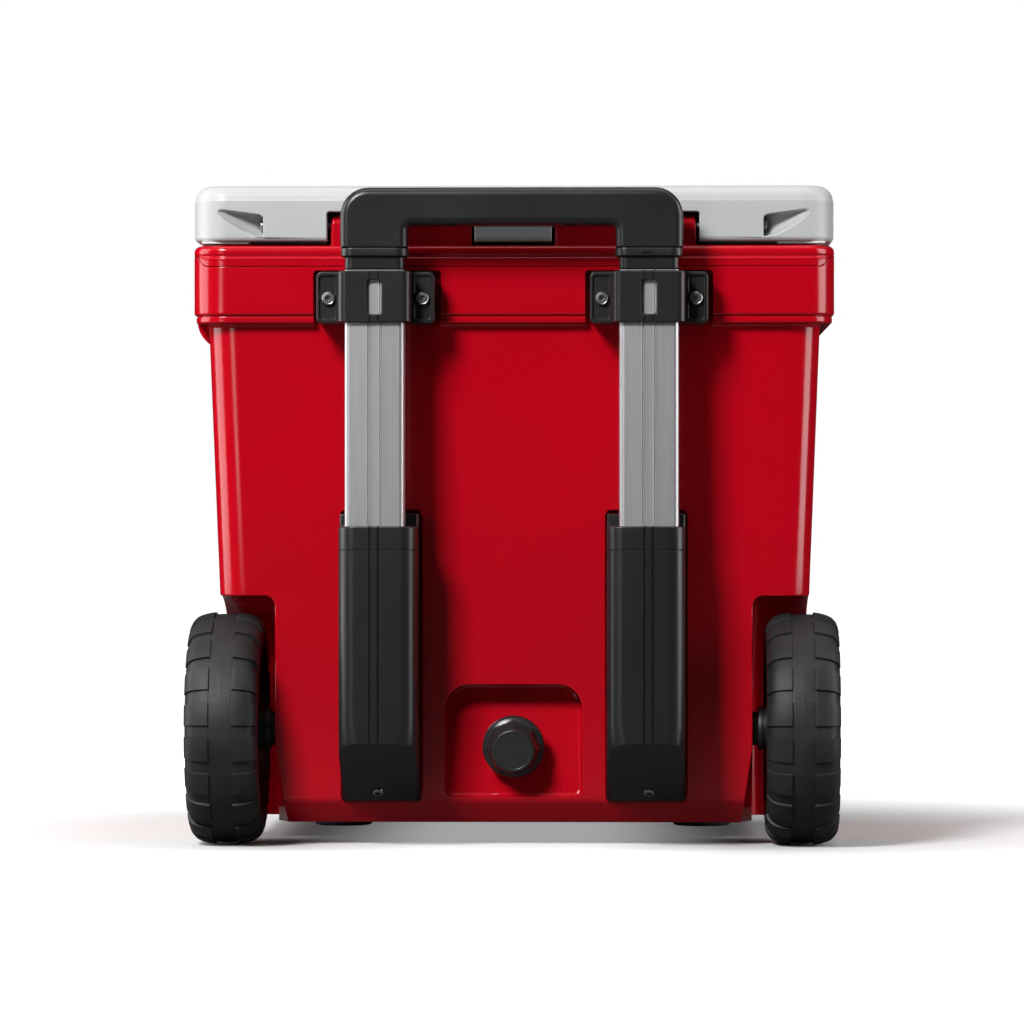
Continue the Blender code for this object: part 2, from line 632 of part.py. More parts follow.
def lid():
    pivot = pivot_at("lid_hinge", (0, HINGE_Y, HINGE_Z))
    front = RIM_FRONT - 0.0005
    levels = ((LID_BOTTOM, 0.004), (LID_BOTTOM + 0.004, 0), (LID_TOP - 0.010, 0))
    levels += ((LID_TOP - 0.003, 0.003), (LID_TOP, 0.010))
    rings = []
    for z, inset in levels:
        outline = rounded(
            -LID_HALF + inset, LID_HALF - inset, LID_REAR + inset, front - inset, 0.027 - inset
        )
        rings.append([(x, y, z) for x, y in outline])
    shell = part("lid_shell", loft(rings), GREY, pivot)
    cut(shell, lid_block(LID_HALF - 0.003, -0.1460, front - 0.003, 0.460, LID_TOP - 0.0035, 0.022))
    for _, sign in SIDES:
        x_low, x_high = sorted((sign * (TOWER_X[0] - 0.0015), sign * (TOWER_X[1] + 0.0017)))
        cut(shell, block((x_low, -0.200, 0.460), (x_high, -0.1495, LID_SLOT_TOP)))
        recess = [(sign * 0.1958, 0.4820), (sign * 0.1958, 0.4960), (sign * 0.2310, 0.4960)]
        recess += [(sign * 0.2310, 0.4925)]
        outline = [(z, x) for x, z in recess]
        cut(shell, prism(outline, "Y", -0.200, -0.1600))
        bore = sorted((sign * (PIN_X[0] - 0.0005), sign * 0.2000))
        cut(shell, rod("X", (0, HINGE_Y, HINGE_Z), PIN_R + GAP, *bore, 16))
        latch_x = sign * LATCH_X
        cut(shell, block((latch_x - 0.0215, 0.2150, 0.460), (latch_x + 0.0215, 0.240, 0.5080)))
    pins(pivot)

    plate = lid_block(LID_HALF - 0.0034, -0.1455, front - 0.0070, LID_BOTTOM, 0.4765, 0.022)
    liner = part("lid_liner", plate, WHITE, pivot)
    add(liner, lid_block(0.1960, -0.1350, 0.1780, 0.4580, 0.4750, 0.014))
    cut(liner, lid_block(0.1925, -0.1315, 0.1745, 0.4615, 0.4900, 0.012))
    for _, sign in SIDES:
        latch_x = sign * LATCH_X
        cut(liner, block((latch_x - 0.0255, 0.2115, 0.460), (latch_x + 0.0255, 0.240, 0.490)))

    filling = lid_block(LID_HALF - 0.0040, -0.1450, front - 0.0110, 0.4768, LID_TOP - 0.0040, 0.021)
    foam = part("lid_foam", filling, FOAM, pivot)
    add(foam, lid_block(0.1920, -0.1310, 0.1740, 0.4620, 0.4780, 0.012))

    outer = rounded(-0.2115, 0.2115, -0.1482, 0.1930, 0.0190)
    inner = rounded(-0.2055, 0.2055, -0.1422, 0.1870, 0.0150)
    gasket = part("lid_gasket", prism(outer, "Z", 0.4650, 0.4731), SOFT_BLACK, pivot)
    cut(gasket, prism(inner, "Z", 0.460, 0.480))
    for side, sign in SIDES:
        latch(side, sign)


def pins(pivot):
    for side, sign in SIDES:
        ends = sorted((sign * PIN_X[0], sign * PIN_X[1]))
        mesh = rod("X", (0, HINGE_Y, HINGE_Z), PIN_R, *ends, 16)
        part("hinge_pin_" + side, mesh, STEEL, pivot)


def latch(side, sign):
    """A lever that hangs from a pin in the lid's front and hooks under the rim."""
    pivot = pivot_at("latch_pivot_" + side, (sign * LATCH_X, LATCH_Y - 0.0045, LATCH_Z))
    x = sign * LATCH_X
    axis_y = LATCH_Y - 0.0045
    outline = [(0.2230, 0.4740), (0.2240, 0.4180), (0.2330, 0.4060), (0.2370, 0.4080)]
    outline += [(0.2370, 0.4940), (0.2345, 0.5000), (0.2300, 0.5045), (0.2245, 0.5070)]
    outline += [(0.2190, 0.5040)]
    outline += [(0.2175, 0.4940), (0.2195, 0.4780)]
    lever = part("latch_" + side, prism(outline, "X", x - 0.0200, x + 0.0200), BLACK, pivot)
    cut(lever, rod("X", (0, axis_y, LATCH_Z), 0.0023, x - 0.030, x + 0.030, 12))
    shell = bpy.data.objects["lid_shell"]
    cut(shell, rod("X", (0, axis_y, LATCH_Z), 0.0023, x - 0.0255, x + 0.0255, 12))
    pin = rod("X", (0, axis_y, LATCH_Z), 0.0020, x - 0.0213, x + 0.0213, 12)
    part("latch_pin_" + side, pin, STEEL, bpy.data.objects["lid_hinge"])


# Drain. Its pieces are made along Z, with the outside towards -Z.
def drain():
    pivot = pivot_at("drain_axis", (0, DRAIN_TIP_Y, DRAIN_Z))
    flange = [(0.0090, 0.0010), (0.0200, 0.0010), (0.0200, 0.0042), (0.0150, 0.0042)]
    flange += [(0.0150, 0.0342), (0.0124, 0.0342), (0.0124, 0.0420), (0.0090, 0.0420)]
    part("drain_fitting", drain_place(turned(flange, "Z", (0, 0, 0), 28)), BLACK)
    nut = [(0.0153, 0.0285), (0.0230, 0.0285), (0.0230, 0.0335), (0.0153, 0.0335)]
    part("drain_nut", drain_place(turned(nut, "Z", (0, 0, 0), 28)), BLACK)
    seal = [(0.0100, -0.0014), (0.0150, -0.0014), (0.0150, 0.0007), (0.0100, 0.0007)]
    part("drain_seal", drain_place(turned(seal, "Z", (0, 0, 0), 28)), SOFT_BLACK, pivot)
    cap = [(0.0010, 0.0180), (0.0085, 0.0180), (0.0085, -0.0017), (0.0205, -0.0017)]
    cap += [(0.0205, 0.0030), (0.0243, 0.0030), (0.0243, -0.0050), (0.0200, -0.0090)]
    cap += [(0.0168, -0.0200), (0.0155, -0.0210), (0.0010, -0.0210)]
    part("drain_cap", drain_place(turned(cap, "Z", (0, 0, 0), 32)), BLACK, pivot)


outer_shell()
top_frame()
inner_liner()
foam_core()
feet()
for wheel_side, wheel_sign in SIDES:
    wheel(wheel_side, wheel_sign)
handle()
lid()
drain()
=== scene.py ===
# A hard cooler on two wheels: a red moulded box with a light grey lid, an aluminium pull
# handle and a screw-out drain cap. Everything is in metres, and the handle side is -Y.
import math

import bmesh
import bpy
from mathutils import Matrix, Vector


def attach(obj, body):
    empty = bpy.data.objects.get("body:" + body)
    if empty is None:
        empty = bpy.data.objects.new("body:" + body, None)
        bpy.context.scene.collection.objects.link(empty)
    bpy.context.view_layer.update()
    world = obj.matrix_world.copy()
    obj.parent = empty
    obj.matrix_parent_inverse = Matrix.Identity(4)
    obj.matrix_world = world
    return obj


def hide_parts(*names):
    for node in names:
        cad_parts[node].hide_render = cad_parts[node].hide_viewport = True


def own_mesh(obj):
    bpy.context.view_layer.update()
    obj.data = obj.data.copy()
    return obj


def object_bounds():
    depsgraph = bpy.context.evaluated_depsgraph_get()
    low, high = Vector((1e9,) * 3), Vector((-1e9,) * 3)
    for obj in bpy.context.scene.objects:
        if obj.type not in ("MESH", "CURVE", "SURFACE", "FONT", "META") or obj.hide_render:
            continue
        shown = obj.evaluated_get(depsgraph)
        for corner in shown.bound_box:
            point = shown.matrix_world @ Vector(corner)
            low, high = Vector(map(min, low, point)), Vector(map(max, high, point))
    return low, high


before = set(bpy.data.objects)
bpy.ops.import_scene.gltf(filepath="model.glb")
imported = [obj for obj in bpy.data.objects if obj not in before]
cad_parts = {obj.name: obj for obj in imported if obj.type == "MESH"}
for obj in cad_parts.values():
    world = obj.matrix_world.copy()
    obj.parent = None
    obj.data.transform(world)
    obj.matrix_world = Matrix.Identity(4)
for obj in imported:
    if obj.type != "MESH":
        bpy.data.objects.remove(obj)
cad_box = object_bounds()
box_back = Vector(cad_box[0]).y
SIDES = (("left", -1), ("right", 1))


# Camera and studio. A long lens stands far back on the handle side, a little to the right,
# level with the middle of the box. A large soft key comes from the upper left with a narrow low
# fill under it, two tall strips stand at the sides, and the floor and the air are plain white.
CAMERA_BACK = 4.3
CAMERA_RIGHT = 0.11
CAMERA_HEIGHT = 0.262
AIM_X = 0.0005
LENS, SENSOR_WIDTH = 195.8, 36.0
FLOOR_HALF = 40.0
WHITE = (1, 1, 1, 1)


def stand_in_studio(name, data, place, target):
    """Puts a camera or a lamp in its place and turns it to its target."""
    thing = bpy.data.objects.new(name, data)
    thing.location = place
    toward = Vector(target) - thing.location
    thing.rotation_euler = toward.to_track_quat("-Z", "Y").to_euler()
    bpy.context.scene.collection.objects.link(thing)
    return thing


def add_node(tree, kind, settings=(), **inputs):
    """Adds a shader node with its (name, value) settings. The keywords are its inputs, with
    their spaces as underscores."""
    node = tree.nodes.new("ShaderNode" + kind)
    for key, value in settings:
        setattr(node, key, value)
    for key, value in inputs.items():
        node.inputs[key.replace("_", " ")].default_value = value
    return node


def wire(tree, *wires):
    """Links nodes. Each wire is a node and its output, then a node and its input."""
    for source, output, target, socket in wires:
        tree.links.new(source.outputs[output], target.inputs[socket])


def new_material(name, colour, roughness, metallic=0.0, **inputs):
    """A Principled material and its shader. The keywords are sockets, as in add_node."""
    material = bpy.data.materials.new(name)
    material.use_nodes = True
    shader = material.node_tree.nodes["Principled BSDF"]
    shader.inputs["Base Color"].default_value = (*colour, 1)
    shader.inputs["Roughness"].default_value = roughness
    shader.inputs["Metallic"].default_value = metallic
    for key, value in inputs.items():
        shader.inputs[key.replace("_", " ")].default_value = value
    return material, shader


lens = bpy.data.cameras.new("studio camera")
lens.lens, lens.sensor_width = LENS, SENSOR_WIDTH
camera_place = (CAMERA_RIGHT, box_back - CAMERA_BACK, CAMERA_HEIGHT)
camera = stand_in_studio("studio camera", lens, camera_place, (AIM_X, box_back, CAMERA_HEIGHT))
bpy.context.scene.camera = camera
bpy.context.scene.view_settings.view_transform = "Standard"

for name, place, target, size, power in (
    ("key", (-1.35, -2.65, 2.3), (0, -0.2, 0.25), (0.85, 0.85), 132),
    ("left strip", (-1.85, -0.1, 0.75), (0, 0, 0.25), (1.2, 1.7), 28),
    ("right strip", (1.9, -0.4, 0.7), (0, 0, 0.25), (0.9, 1.7), 26),
    ("top", (0.0, -0.2, 2.1), (0, 0, 0.3), (1.8, 0.35), 8),
):
    lamp = bpy.data.lights.new(name, "AREA")
    lamp.shape = "RECTANGLE"
    lamp.size, lamp.size_y = size
    lamp.energy = power
    stand_in_studio(name, lamp, place, target)

spot = bpy.data.lights.new("low fill", "SPOT")
spot.energy = 140
spot.spot_size = math.radians(17)
spot.spot_blend = 1.0
spot.shadow_soft_size = 0.85
stand_in_studio("low fill", spot, (-1.4, -3.1, 0.42), (0, -0.2, 0.5))

# The camera sees the floor white, glowing more the further off the box it is, with a painted pool of
# light under the box's middle that lightens the shadow there. The pieces see the floor darker the
# further off it is.
floor_paint, shader = new_material(
    "white floor", (0.9, 0.9, 0.9), 0.9, Specular_IOR_Level=0.1, Emission_Color=WHITE
)
tree = floor_paint.node_tree
smooth_step = [("interpolation_type", "SMOOTHSTEP")]
seen = add_node(tree, "LightPath")
place = add_node(tree, "TexCoord")
away = add_node(tree, "VectorMath", [("operation", "LENGTH")])
split = add_node(tree, "SeparateXYZ")
across = add_node(tree, "Math", [("operation", "ABSOLUTE")])
dim = add_node(tree, "MapRange", From_Min=0.3, From_Max=1.0, To_Min=0.14, To_Max=0.03)
tone = add_node(tree, "Mix", [("data_type", "RGBA")], B=(0.78, 0.78, 0.78, 1))
fade = add_node(tree, "MapRange", smooth_step, From_Min=0.3, From_Max=0.95)
# Painted light: a glow, seen only by the camera, on the floor under the box's middle, which lightens
# the shadow there.
painted_light_under_box = add_node(
    tree, "MapRange", smooth_step, From_Min=0.05, From_Max=0.19, To_Min=0.36, To_Max=0.0
)
more = add_node(tree, "Math", [("operation", "MAXIMUM")])
glow = add_node(tree, "Math", [("operation", "MULTIPLY")])
wire(
    tree,
    (place, "Object", away, 0), (away, "Value", dim, "Value"), (dim, "Result", tone, "A"),
    (seen, "Is Camera Ray", tone, "Factor"), (tone, "Result", shader, "Base Color"),
    (place, "Object", split, 0), (split, "X", across, 0), (across, 0, painted_light_under_box, "Value"),
    (away, "Value", fade, "Value"), (fade, "Result", more, 0), (painted_light_under_box, "Result", more, 1),
    (seen, "Is Camera Ray", glow, 0), (more, 0, glow, 1), (glow, 0, shader, "Emission Strength"),
)
floor_mesh = bpy.data.meshes.new("floor")
corners = [(u * FLOOR_HALF, v * FLOOR_HALF, 0) for u, v in ((-1, -1), (1, -1), (1, 1), (-1, 1))]
floor_mesh.from_pydata(corners, [], [(0, 1, 2, 3)])
floor_mesh.materials.append(floor_paint)
floor = bpy.data.objects.new("floor", floor_mesh)
bpy.context.scene.collection.objects.link(floor)

air = bpy.data.worlds.new("studio air")
bpy.context.scene.world = air
air.use_nodes = True
tree = air.node_tree
tree.nodes.clear()
surface = add_node(tree, "OutputWorld")
mix = add_node(tree, "MixShader")
seen = add_node(tree, "LightPath")
plain = add_node(tree, "Background", Color=WHITE)
glow = add_node(tree, "Background")
place = add_node(tree, "TexCoord")
split = add_node(tree, "SeparateXYZ")
rise = add_node(tree, "MapRange", From_Min=0.44, From_Max=0.95, To_Min=0.015, To_Max=0.45)
wire(
    tree,
    (place, "Generated", split, 0), (split, "Z", rise, "Value"), (rise, "Result", glow, "Strength"),
    (seen, "Is Camera Ray", mix, 0), (glow, 0, mix, 1), (plain, 0, mix, 2),
    (mix, 0, surface, "Surface"),
)


# Outer shell. The real piece is one red injection-moulded tub, about 3.5 mm thick. It leans
# in towards its foot and has a standing rim at its mouth. The wheel wells, the drain recess,
# the pockets for the handle's housings and the rests for its clamps are moulded in.
BODY_HALF = 0.2405         # half width just under the rim
BODY_REAR = -0.177
BODY_FRONT = 0.211
BODY_LEAN = 0.038          # metres in for each metre down
BODY_CORNER = 0.024
RIM_OUT = 0.011
RIM_CORNER = 0.028
RIM_LOW = 0.4097
PARTING_Z = 0.454
PARTING_RISE = 0.0082      # the parting line climbs by this much round each corner
PARTING_RUN = 0.0095       # and over this width
SHELL_THICK = 0.0035


def collect(name, mesh):
    """Turns a bmesh into an object, with its faces pointing out."""
    bmesh.ops.recalc_face_normals(mesh, faces=mesh.faces)
    data = bpy.data.meshes.new(name)
    mesh.to_mesh(data)
    mesh.free()
    piece = bpy.data.objects.new(name, data)
    bpy.context.scene.collection.objects.link(piece)
    return piece


def skin(name, rings, looped=False, capped=True):
    """Joins rings of equal length, in order, into one closed surface."""
    mesh = bmesh.new()
    rows = [[mesh.verts.new(point) for point in ring] for ring in rings]
    for low, high in zip(rows, rows[1:] + rows[:1] if looped else rows[1:]):
        for k in range(len(low)):
            n = (k + 1) % len(low)
            mesh.faces.new((low[k], low[n], high[n], high[k]))
    if capped and not looped:
        mesh.faces.new(rows[0])
        mesh.faces.new(rows[-1])
    return collect(name, mesh)


def rounded(u_low, u_high, v_low, v_high, radius, steps=10):
    """The outline of a rectangle with round corners, all alike or each with its own radius."""
    radii = radius if isinstance(radius, tuple) else (radius,) * 4
    corners = ((u_high, v_high), (u_low, v_high), (u_low, v_low), (u_high, v_low))
    points = []
    for number, ((u, v), r) in enumerate(zip(corners, radii)):
        u += -r if number in (0, 3) else r
        v += -r if number in (0, 1) else r
        for k in range(steps + 1):
            angle = math.radians(90 * number + 90 * k / steps)
            points.append((u + r * math.cos(angle), v + r * math.sin(angle)))
    return points


def edge_round(radius, steps):
    """How far in and how far up each step of a rounded edge is, from its foot."""
    angles = [math.radians(90 * k / steps) for k in range(steps + 1)]
    return [(radius * (1 - math.sin(a)), radius * (1 - math.cos(a))) for a in angles]


def stood(points, axis, height):
    """Outline points set at a height on an axis, with u and v on the next two axes."""
    first = "XYZ".index(axis)
    placed = []
    for u, v in points:
        point = [0.0, 0.0, 0.0]
        point[first] = height
        point[(first + 1) % 3] = u
        point[(first + 2) % 3] = v
        placed.append(tuple(point))
    return placed


def extruded(name, points, axis, low, high):
    return skin(name, [stood(points, axis, low), stood(points, axis, high)])


def levels(name, axis, profile, outline, looped=False):
    """A skin through a profile of (size, height) pairs, with the outline that each size gives."""
    return skin(name, [stood(outline(size), axis, height) for size, height in profile], looped)


def span(sign, near, far):
    """Two distances from the middle, as low and high on the side that sign gives."""
    return sorted((sign * near, sign * far))


def block(name, low, high):
    corners = [(low[0], low[1]), (high[0], low[1]), (high[0], high[1]), (low[0], high[1])]
    return extruded(name, corners, "Z", low[2], high[2])


def round_bar(name, axis, centre, radius, low, high, steps=32):
    first = "XYZ".index(axis)
    u, v = centre[(first + 1) % 3], centre[(first + 2) % 3]
    angles = [2 * math.pi * k / steps for k in range(steps)]
    points = [(u + radius * math.cos(a), v + radius * math.sin(a)) for a in angles]
    return extruded(name, points, axis, low, high)


def turned(name, profile, axis, centre, steps=64):
    """A closed profile of (radius, height) pairs turned round an axis."""
    first = "XYZ".index(axis)
    u, v = centre[(first + 1) % 3], centre[(first + 2) % 3]
    rings = []
    for k in range(steps):
        angle = 2 * math.pi * k / steps
        cos, sin = math.cos(angle), math.sin(angle)
        rings.append([stood([(u + r * cos, v + r * sin)], axis, height)[0] for r, height in profile])
    return skin(name, rings, looped=True)


def joined(piece, others, operation):
    """Cuts or adds the other objects, keeps the result and deletes them."""
    for other in others:
        change = piece.modifiers.new("join", "BOOLEAN")
        change.operation = operation
        change.object = other
        change.solver = "EXACT"
    graph = bpy.context.evaluated_depsgraph_get()
    result = bpy.data.meshes.new_from_object(piece.evaluated_get(graph))
    piece.modifiers.clear()
    piece.data = result
    for other in others:
        bpy.data.objects.remove(other, do_unlink=True)
    return piece


def carve(piece, *cutters):
    return joined(piece, cutters, "DIFFERENCE")


def fuse(piece, *others):
    return joined(piece, others, "UNION")


def soften(piece, width, *bands, angle=35, segments=3):
    """Rounds the sharp edges whose middle lies in each band, an axis with its low and high."""
    mesh = bmesh.new()
    mesh.from_mesh(piece.data)
    bmesh.ops.remove_doubles(mesh, verts=mesh.verts, dist=2e-6)
    chosen = []
    for edge in mesh.edges:
        if len(edge.link_faces) != 2 or edge.calc_face_angle(0) < math.radians(angle):
            continue
        middle = (edge.verts[0].co + edge.verts[1].co) / 2
        if all(low <= middle["XYZ".index(axis)] <= high for axis, low, high in bands):
            chosen.append(edge)
    bmesh.ops.bevel(
        mesh, geom=chosen, offset=width, offset_type="OFFSET", segments=segments, profile=0.5,
        affect="EDGES", clamp_overlap=False,
    )
    mesh.to_mesh(piece.data)
    mesh.free()
    return piece


def finish_piece(piece, material, body, smooth=40):
    """Gives a piece its smoothing angle, material and body. A piece whose name is a CAD node's with
    .visual hides that node, in whose place it stands."""
    if smooth:
        piece.data.shade_smooth()
        piece.data.set_sharp_from_angle(angle=math.radians(smooth))
        piece.modifiers.new("flat faces stay flat", "WEIGHTED_NORMAL").keep_sharp = True
    piece.data.materials.clear()
    piece.data.materials.append(material)
    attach(piece, body)
    node_name = piece.name.removesuffix(".visual")
    if node_name != piece.name:
        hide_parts(node_name)
    return piece


def moulded_group():
    """Moulded plastic's surface: fine grain or orange peel, uneven gloss and faint mottling."""
    group = bpy.data.node_groups.new("moulded surface", "ShaderNodeTree")
    for kind, name, in_out, value in (
        ("Color", "Colour", "INPUT", (0.5, 0.5, 0.5, 1)),
        ("Float", "Grain per metre", "INPUT", 900.0),
        ("Float", "Gloss low", "INPUT", 0.2),
        ("Float", "Gloss high", "INPUT", 0.3),
        ("Float", "Mottling", "INPUT", 0.04),
        ("Color", "Colour", "OUTPUT", None),
        ("Float", "Roughness", "OUTPUT", None),
        ("Float", "Height", "OUTPUT", None),
    ):
        socket = group.interface.new_socket(name, in_out=in_out, socket_type="NodeSocket" + kind)
        if value is not None:
            socket.default_value = value
    given = group.nodes.new("NodeGroupInput")
    gives = group.nodes.new("NodeGroupOutput")
    place = add_node(group, "TexCoord")
    grain = add_node(group, "TexNoise", Detail=3.0, Roughness=0.55)
    cloud = add_node(group, "TexNoise", Scale=14.0, Detail=4.0)
    gloss = add_node(group, "MapRange", From_Min=0.3, From_Max=0.7)
    darker = add_node(group, "MapRange", From_Min=0.35, From_Max=0.65, To_Min=1.0, To_Max=0.82)
    mottle = add_node(group, "Mix", [("data_type", "RGBA"), ("blend_type", "MULTIPLY")])
    wire(
        group,
        (place, "Object", grain, "Vector"), (given, "Grain per metre", grain, "Scale"),
        (place, "Object", cloud, "Vector"), (cloud, "Fac", gloss, "Value"),
        (given, "Gloss low", gloss, "To Min"), (given, "Gloss high", gloss, "To Max"),
        (cloud, "Fac", darker, "Value"), (given, "Mottling", mottle, "Factor"),
        (given, "Colour", mottle, "A"), (darker, "Result", mottle, "B"),
        (mottle, "Result", gives, "Colour"), (gloss, "Result", gives, "Roughness"),
        (grain, "Fac", gives, "Height"),
    )
    return group


MOULDED = moulded_group()


def moulded_plastic(name, colour, gloss, grain, depth, mottling=0.3, **inputs):
    """gloss is the lowest and highest roughness; depth is the grain's depth in metres."""
    material, shader = new_material(name, colour, gloss[0], **inputs)
    tree = material.node_tree
    surface = add_node(
        tree, "Group", [("node_tree", MOULDED)], Colour=(*colour, 1), Grain_per_metre=grain,
        Gloss_low=gloss[0], Gloss_high=gloss[1], Mottling=mottling,
    )
    bump = add_node(tree, "Bump", Strength=1.0, Distance=depth)
    wire(
        tree,
        (surface, "Colour", shader, "Base Color"), (surface, "Roughness", shader, "Roughness"),
        (surface, "Height", bump, "Height"), (bump, "Normal", shader, "Normal"),
    )
    return material


RED = (0.5, 0.0012, 0.01)
red_plastic = moulded_plastic(
    "red moulded plastic", RED, (0.13, 0.19), 260.0, 0.00003, 0.25, Specular_IOR_Level=0.42
)


def body_line(z, inset=0.0):
    """Half width, back and front of the tub at a height, moved in by inset."""
    lean = (RIM_LOW - z) * BODY_LEAN + inset
    return BODY_HALF - lean, BODY_REAR + lean, BODY_FRONT - lean


def body_ring(z, inset=0.0):
    half, back, front = body_line(z, inset)
    return stood(rounded(-half, half, back, front, BODY_CORNER - inset), "Z", z)


def rim_outline(out):
    """The rim's outline, out from the standing face by out."""
    half = BODY_HALF + RIM_OUT + out
    back, front = BODY_REAR - RIM_OUT - out, BODY_FRONT + RIM_OUT + out
    return rounded(-half, half, back, front, RIM_CORNER + out)


def parting_height(x):
    """The height of the line where the shell meets the top frame."""
    share = min(1.0, max(0.0, (abs(x) - BODY_HALF) / PARTING_RUN))
    return PARTING_Z + PARTING_RISE * share * share * (3 - 2 * share)


WHEEL_Y, WHEEL_Z = -0.143, 0.0915
WELL_X = 0.1875            # inner wall of each wheel well
WELL_REACH = 0.1045        # from the axle to the well's roof and its front
TUBE_X, TUBE_Y = 0.1063, -0.22
HOUSING_X = (0.0735, 0.1345)
HOUSING_LOW = 0.035
RECESS_HALF = 0.053        # the recess round the drain cap
RECESS_Z = (0.0382, 0.126)
RECESS_DEPTH = (0.004, 0.024)


def well(sign, grow):
    """The space for a wheel: a flat roof behind the axle, and an arc in front of it."""
    reach = WELL_REACH + grow
    outline = [(-0.3, -0.05), (-0.3, WHEEL_Z + reach), (WHEEL_Y, WHEEL_Z + reach)]
    for k in range(1, 21):
        angle = math.radians(90 - 4.5 * k)
        y = WHEEL_Y + reach * math.cos(angle)
        outline.append((y, WHEEL_Z + reach * math.sin(angle)))
    outline.append((WHEEL_Y + reach, -0.05))
    inner = sign * (WELL_X - grow)
    space = extruded("well", outline, "X", *sorted((inner, sign * 0.32)))
    soften(space, 0.008, ("X", inner - 0.0005, inner + 0.0005), segments=7)
    heel_rings = []
    for y, share in ((-0.295, 1.0), (-0.144, 1.0), (-0.12, 0.03)):
        heel = [
            (-0.03, sign * 0.3), (0.078, sign * 0.3), (0.078, inner + sign * 0.0002),
            (0.017, inner - sign * 0.0095 * share), (-0.03, inner - sign * 0.016 * share),
        ]
        heel_rings.append(stood(heel, "Y", y))
    return fuse(space, skin("heel", heel_rings))


def drain_recess(grow):
    low, high, half = RECESS_Z[0] - grow, RECESS_Z[1] + grow, RECESS_HALF + grow
    rings = []
    for inward, rise in ((0.0034, 0), (0.0018, 0.0003), (0.0006, 0.0012), (0, 0.003), (-0.001, None)):
        outline = rounded(
            low + inward,
            high - inward,
            inward - half,
            half - inward,
            (0.018 - inward, 0.006 - inward, 0.006 - inward, 0.018 - inward),
        )
        ring = []
        for z, x in outline:
            depth = RECESS_DEPTH[0] + (RECESS_DEPTH[1] - RECESS_DEPTH[0]) * (z - low) / (high - low)
            floor = body_line(z)[1] + depth + grow
            spread = 1 + 0.02 * (high - z) / (high - low)
            ring.append((x * spread, -0.23 if rise is None else floor - rise, z))
        rings.append(ring)
    return skin("drain recess", rings)


def housing_pocket(sign, grow):
    x_low, x_high = span(sign, *HOUSING_X)
    margin = grow + 0.0012
    outline = rounded(
        HOUSING_LOW - margin, 0.262 + margin, x_low - margin, x_high + margin, 0.004, 4
    )
    return extruded("housing pocket", outline, "Y", -0.23, -0.16 + grow)


def clamp_pocket(sign, grow):
    x, half = sign * TUBE_X, 0.0489 + grow
    profile = ((0, -0.177 + grow), (0.0002, -0.18), (0.001, -0.1865), (0.004, -0.23))
    return levels("clamp pocket", "Y", profile, lambda flare: rounded(
        0.398 - flare, 0.451 + grow, x - half - flare, x + half + flare, 0.003, 4
    ))


def along_drain(piece):
    """Stands a piece made along Z, with its outside towards -Z, on the tilted drain axis."""
    turn = Matrix.Rotation(math.radians(8 - 90), 4, "X")
    piece.data.transform(Matrix.Translation((0, -0.168, 0.078)) @ turn)
    return piece


def pocketed(form, grow):
    carve(form, drain_recess(grow))
    for sign in (-1, 1):
        carve(form, well(sign, grow), housing_pocket(sign, grow), clamp_pocket(sign, grow))
    return form


foot_profile = (
    (0.0175, 0.015), (0.0177, 0.0134), (0.0184, 0.0122), (0.0325, 0.0018), (0.0345, 0.0007),
    (0.0365, 0.0001), (0.0385, 0),
)
shell_rings = [body_ring(z, inset) for z, inset in foot_profile]
for z in (0.12, 0.21, 0.3, 0.39):
    shell_rings.append(body_ring(z))
FILLET = 0.0036
shell_rings += [body_ring(RIM_LOW - down, -out) for down, out in edge_round(FILLET, 6)]
lip_profile = (
    (-0.0036, 0.4097), (-0.0025, 0.4099), (-0.0019, 0.4105), (-0.0017, 0.4114), (-0.0017, 0.414),
    (-0.002, 0.4147), (-0.0029, 0.4151), (-0.0028, 0.4156),
)
shell_rings += [stood(rim_outline(out), "Z", z) for out, z in lip_profile]
for k in range(1, 7):
    angle = math.radians(15 * k)
    outline = rim_outline(-0.0026 * (1 - math.sin(angle)))
    shell_rings.append(stood(outline, "Z", 0.4182 - 0.0026 * math.cos(angle)))
for out, down in ((0, 0.03), (0, 0.0008), (-0.0002, 0.00035), (-0.0007, 0.00015)):
    shell_rings.append([(x, y, parting_height(x) - down) for x, y in rim_outline(out)])
shell_rings.append(stood(rim_outline(-0.0115), "Z", PARTING_Z - 0.0002))
shell = pocketed(skin("outer_shell.visual", shell_rings), 0)
soften(shell, 0.0013, ("Z", 0.042, 0.396), angle=42)

inside_rings = [
    body_ring(0.021, 0.015), body_ring(0.035, SHELL_THICK),
    body_ring(RIM_LOW + SHELL_THICK, SHELL_THICK),
]
inside_rings += [stood(rim_outline(-SHELL_THICK), "Z", z) for z in (RIM_LOW + SHELL_THICK, 0.47)]
carve(shell, pocketed(skin("inside", inside_rings), SHELL_THICK))
drain_bore = along_drain(round_bar("bore", "Z", (0, 0, 0), 0.0153, -0.03, 0.04, 48))
carve(shell, drain_bore)
for sign in (-1, 1):
    ends = span(sign, 0.17, 0.2)
    carve(shell, round_bar("axle bore", "X", (0, WHEEL_Y, WHEEL_Z), 0.0063, *ends))

gusset_line = [  # a small web under the rim, ahead of the left wheel
    (-0.23, 0.412), (-0.2503, 0.412), (-0.25, 0.4085), (-0.2486, 0.404), (-0.2462, 0.4),
    (-0.2432, 0.3965), (-0.2398, 0.3935), (-0.23, 0.3925),
]
gusset = extruded("gusset", [(z, x) for x, z in gusset_line], "Y", -0.144, -0.13)
fuse(shell, gusset)
finish_piece(shell, red_plastic, "root")


# Top frame. A second red moulding closes the shell's mouth. It has a fine ridge and a round bead
# on its edge, a sunk ledge for the liner's flange, and two towers at the back that carry the hinge.
HINGE_Y, HINGE_Z, HINGE_BORE = -0.1715, 0.4865, 0.0033
TOWER_X = (0.0315, 0.144)
LEDGE_Z = 0.461
BEAD_LOW = 0.463

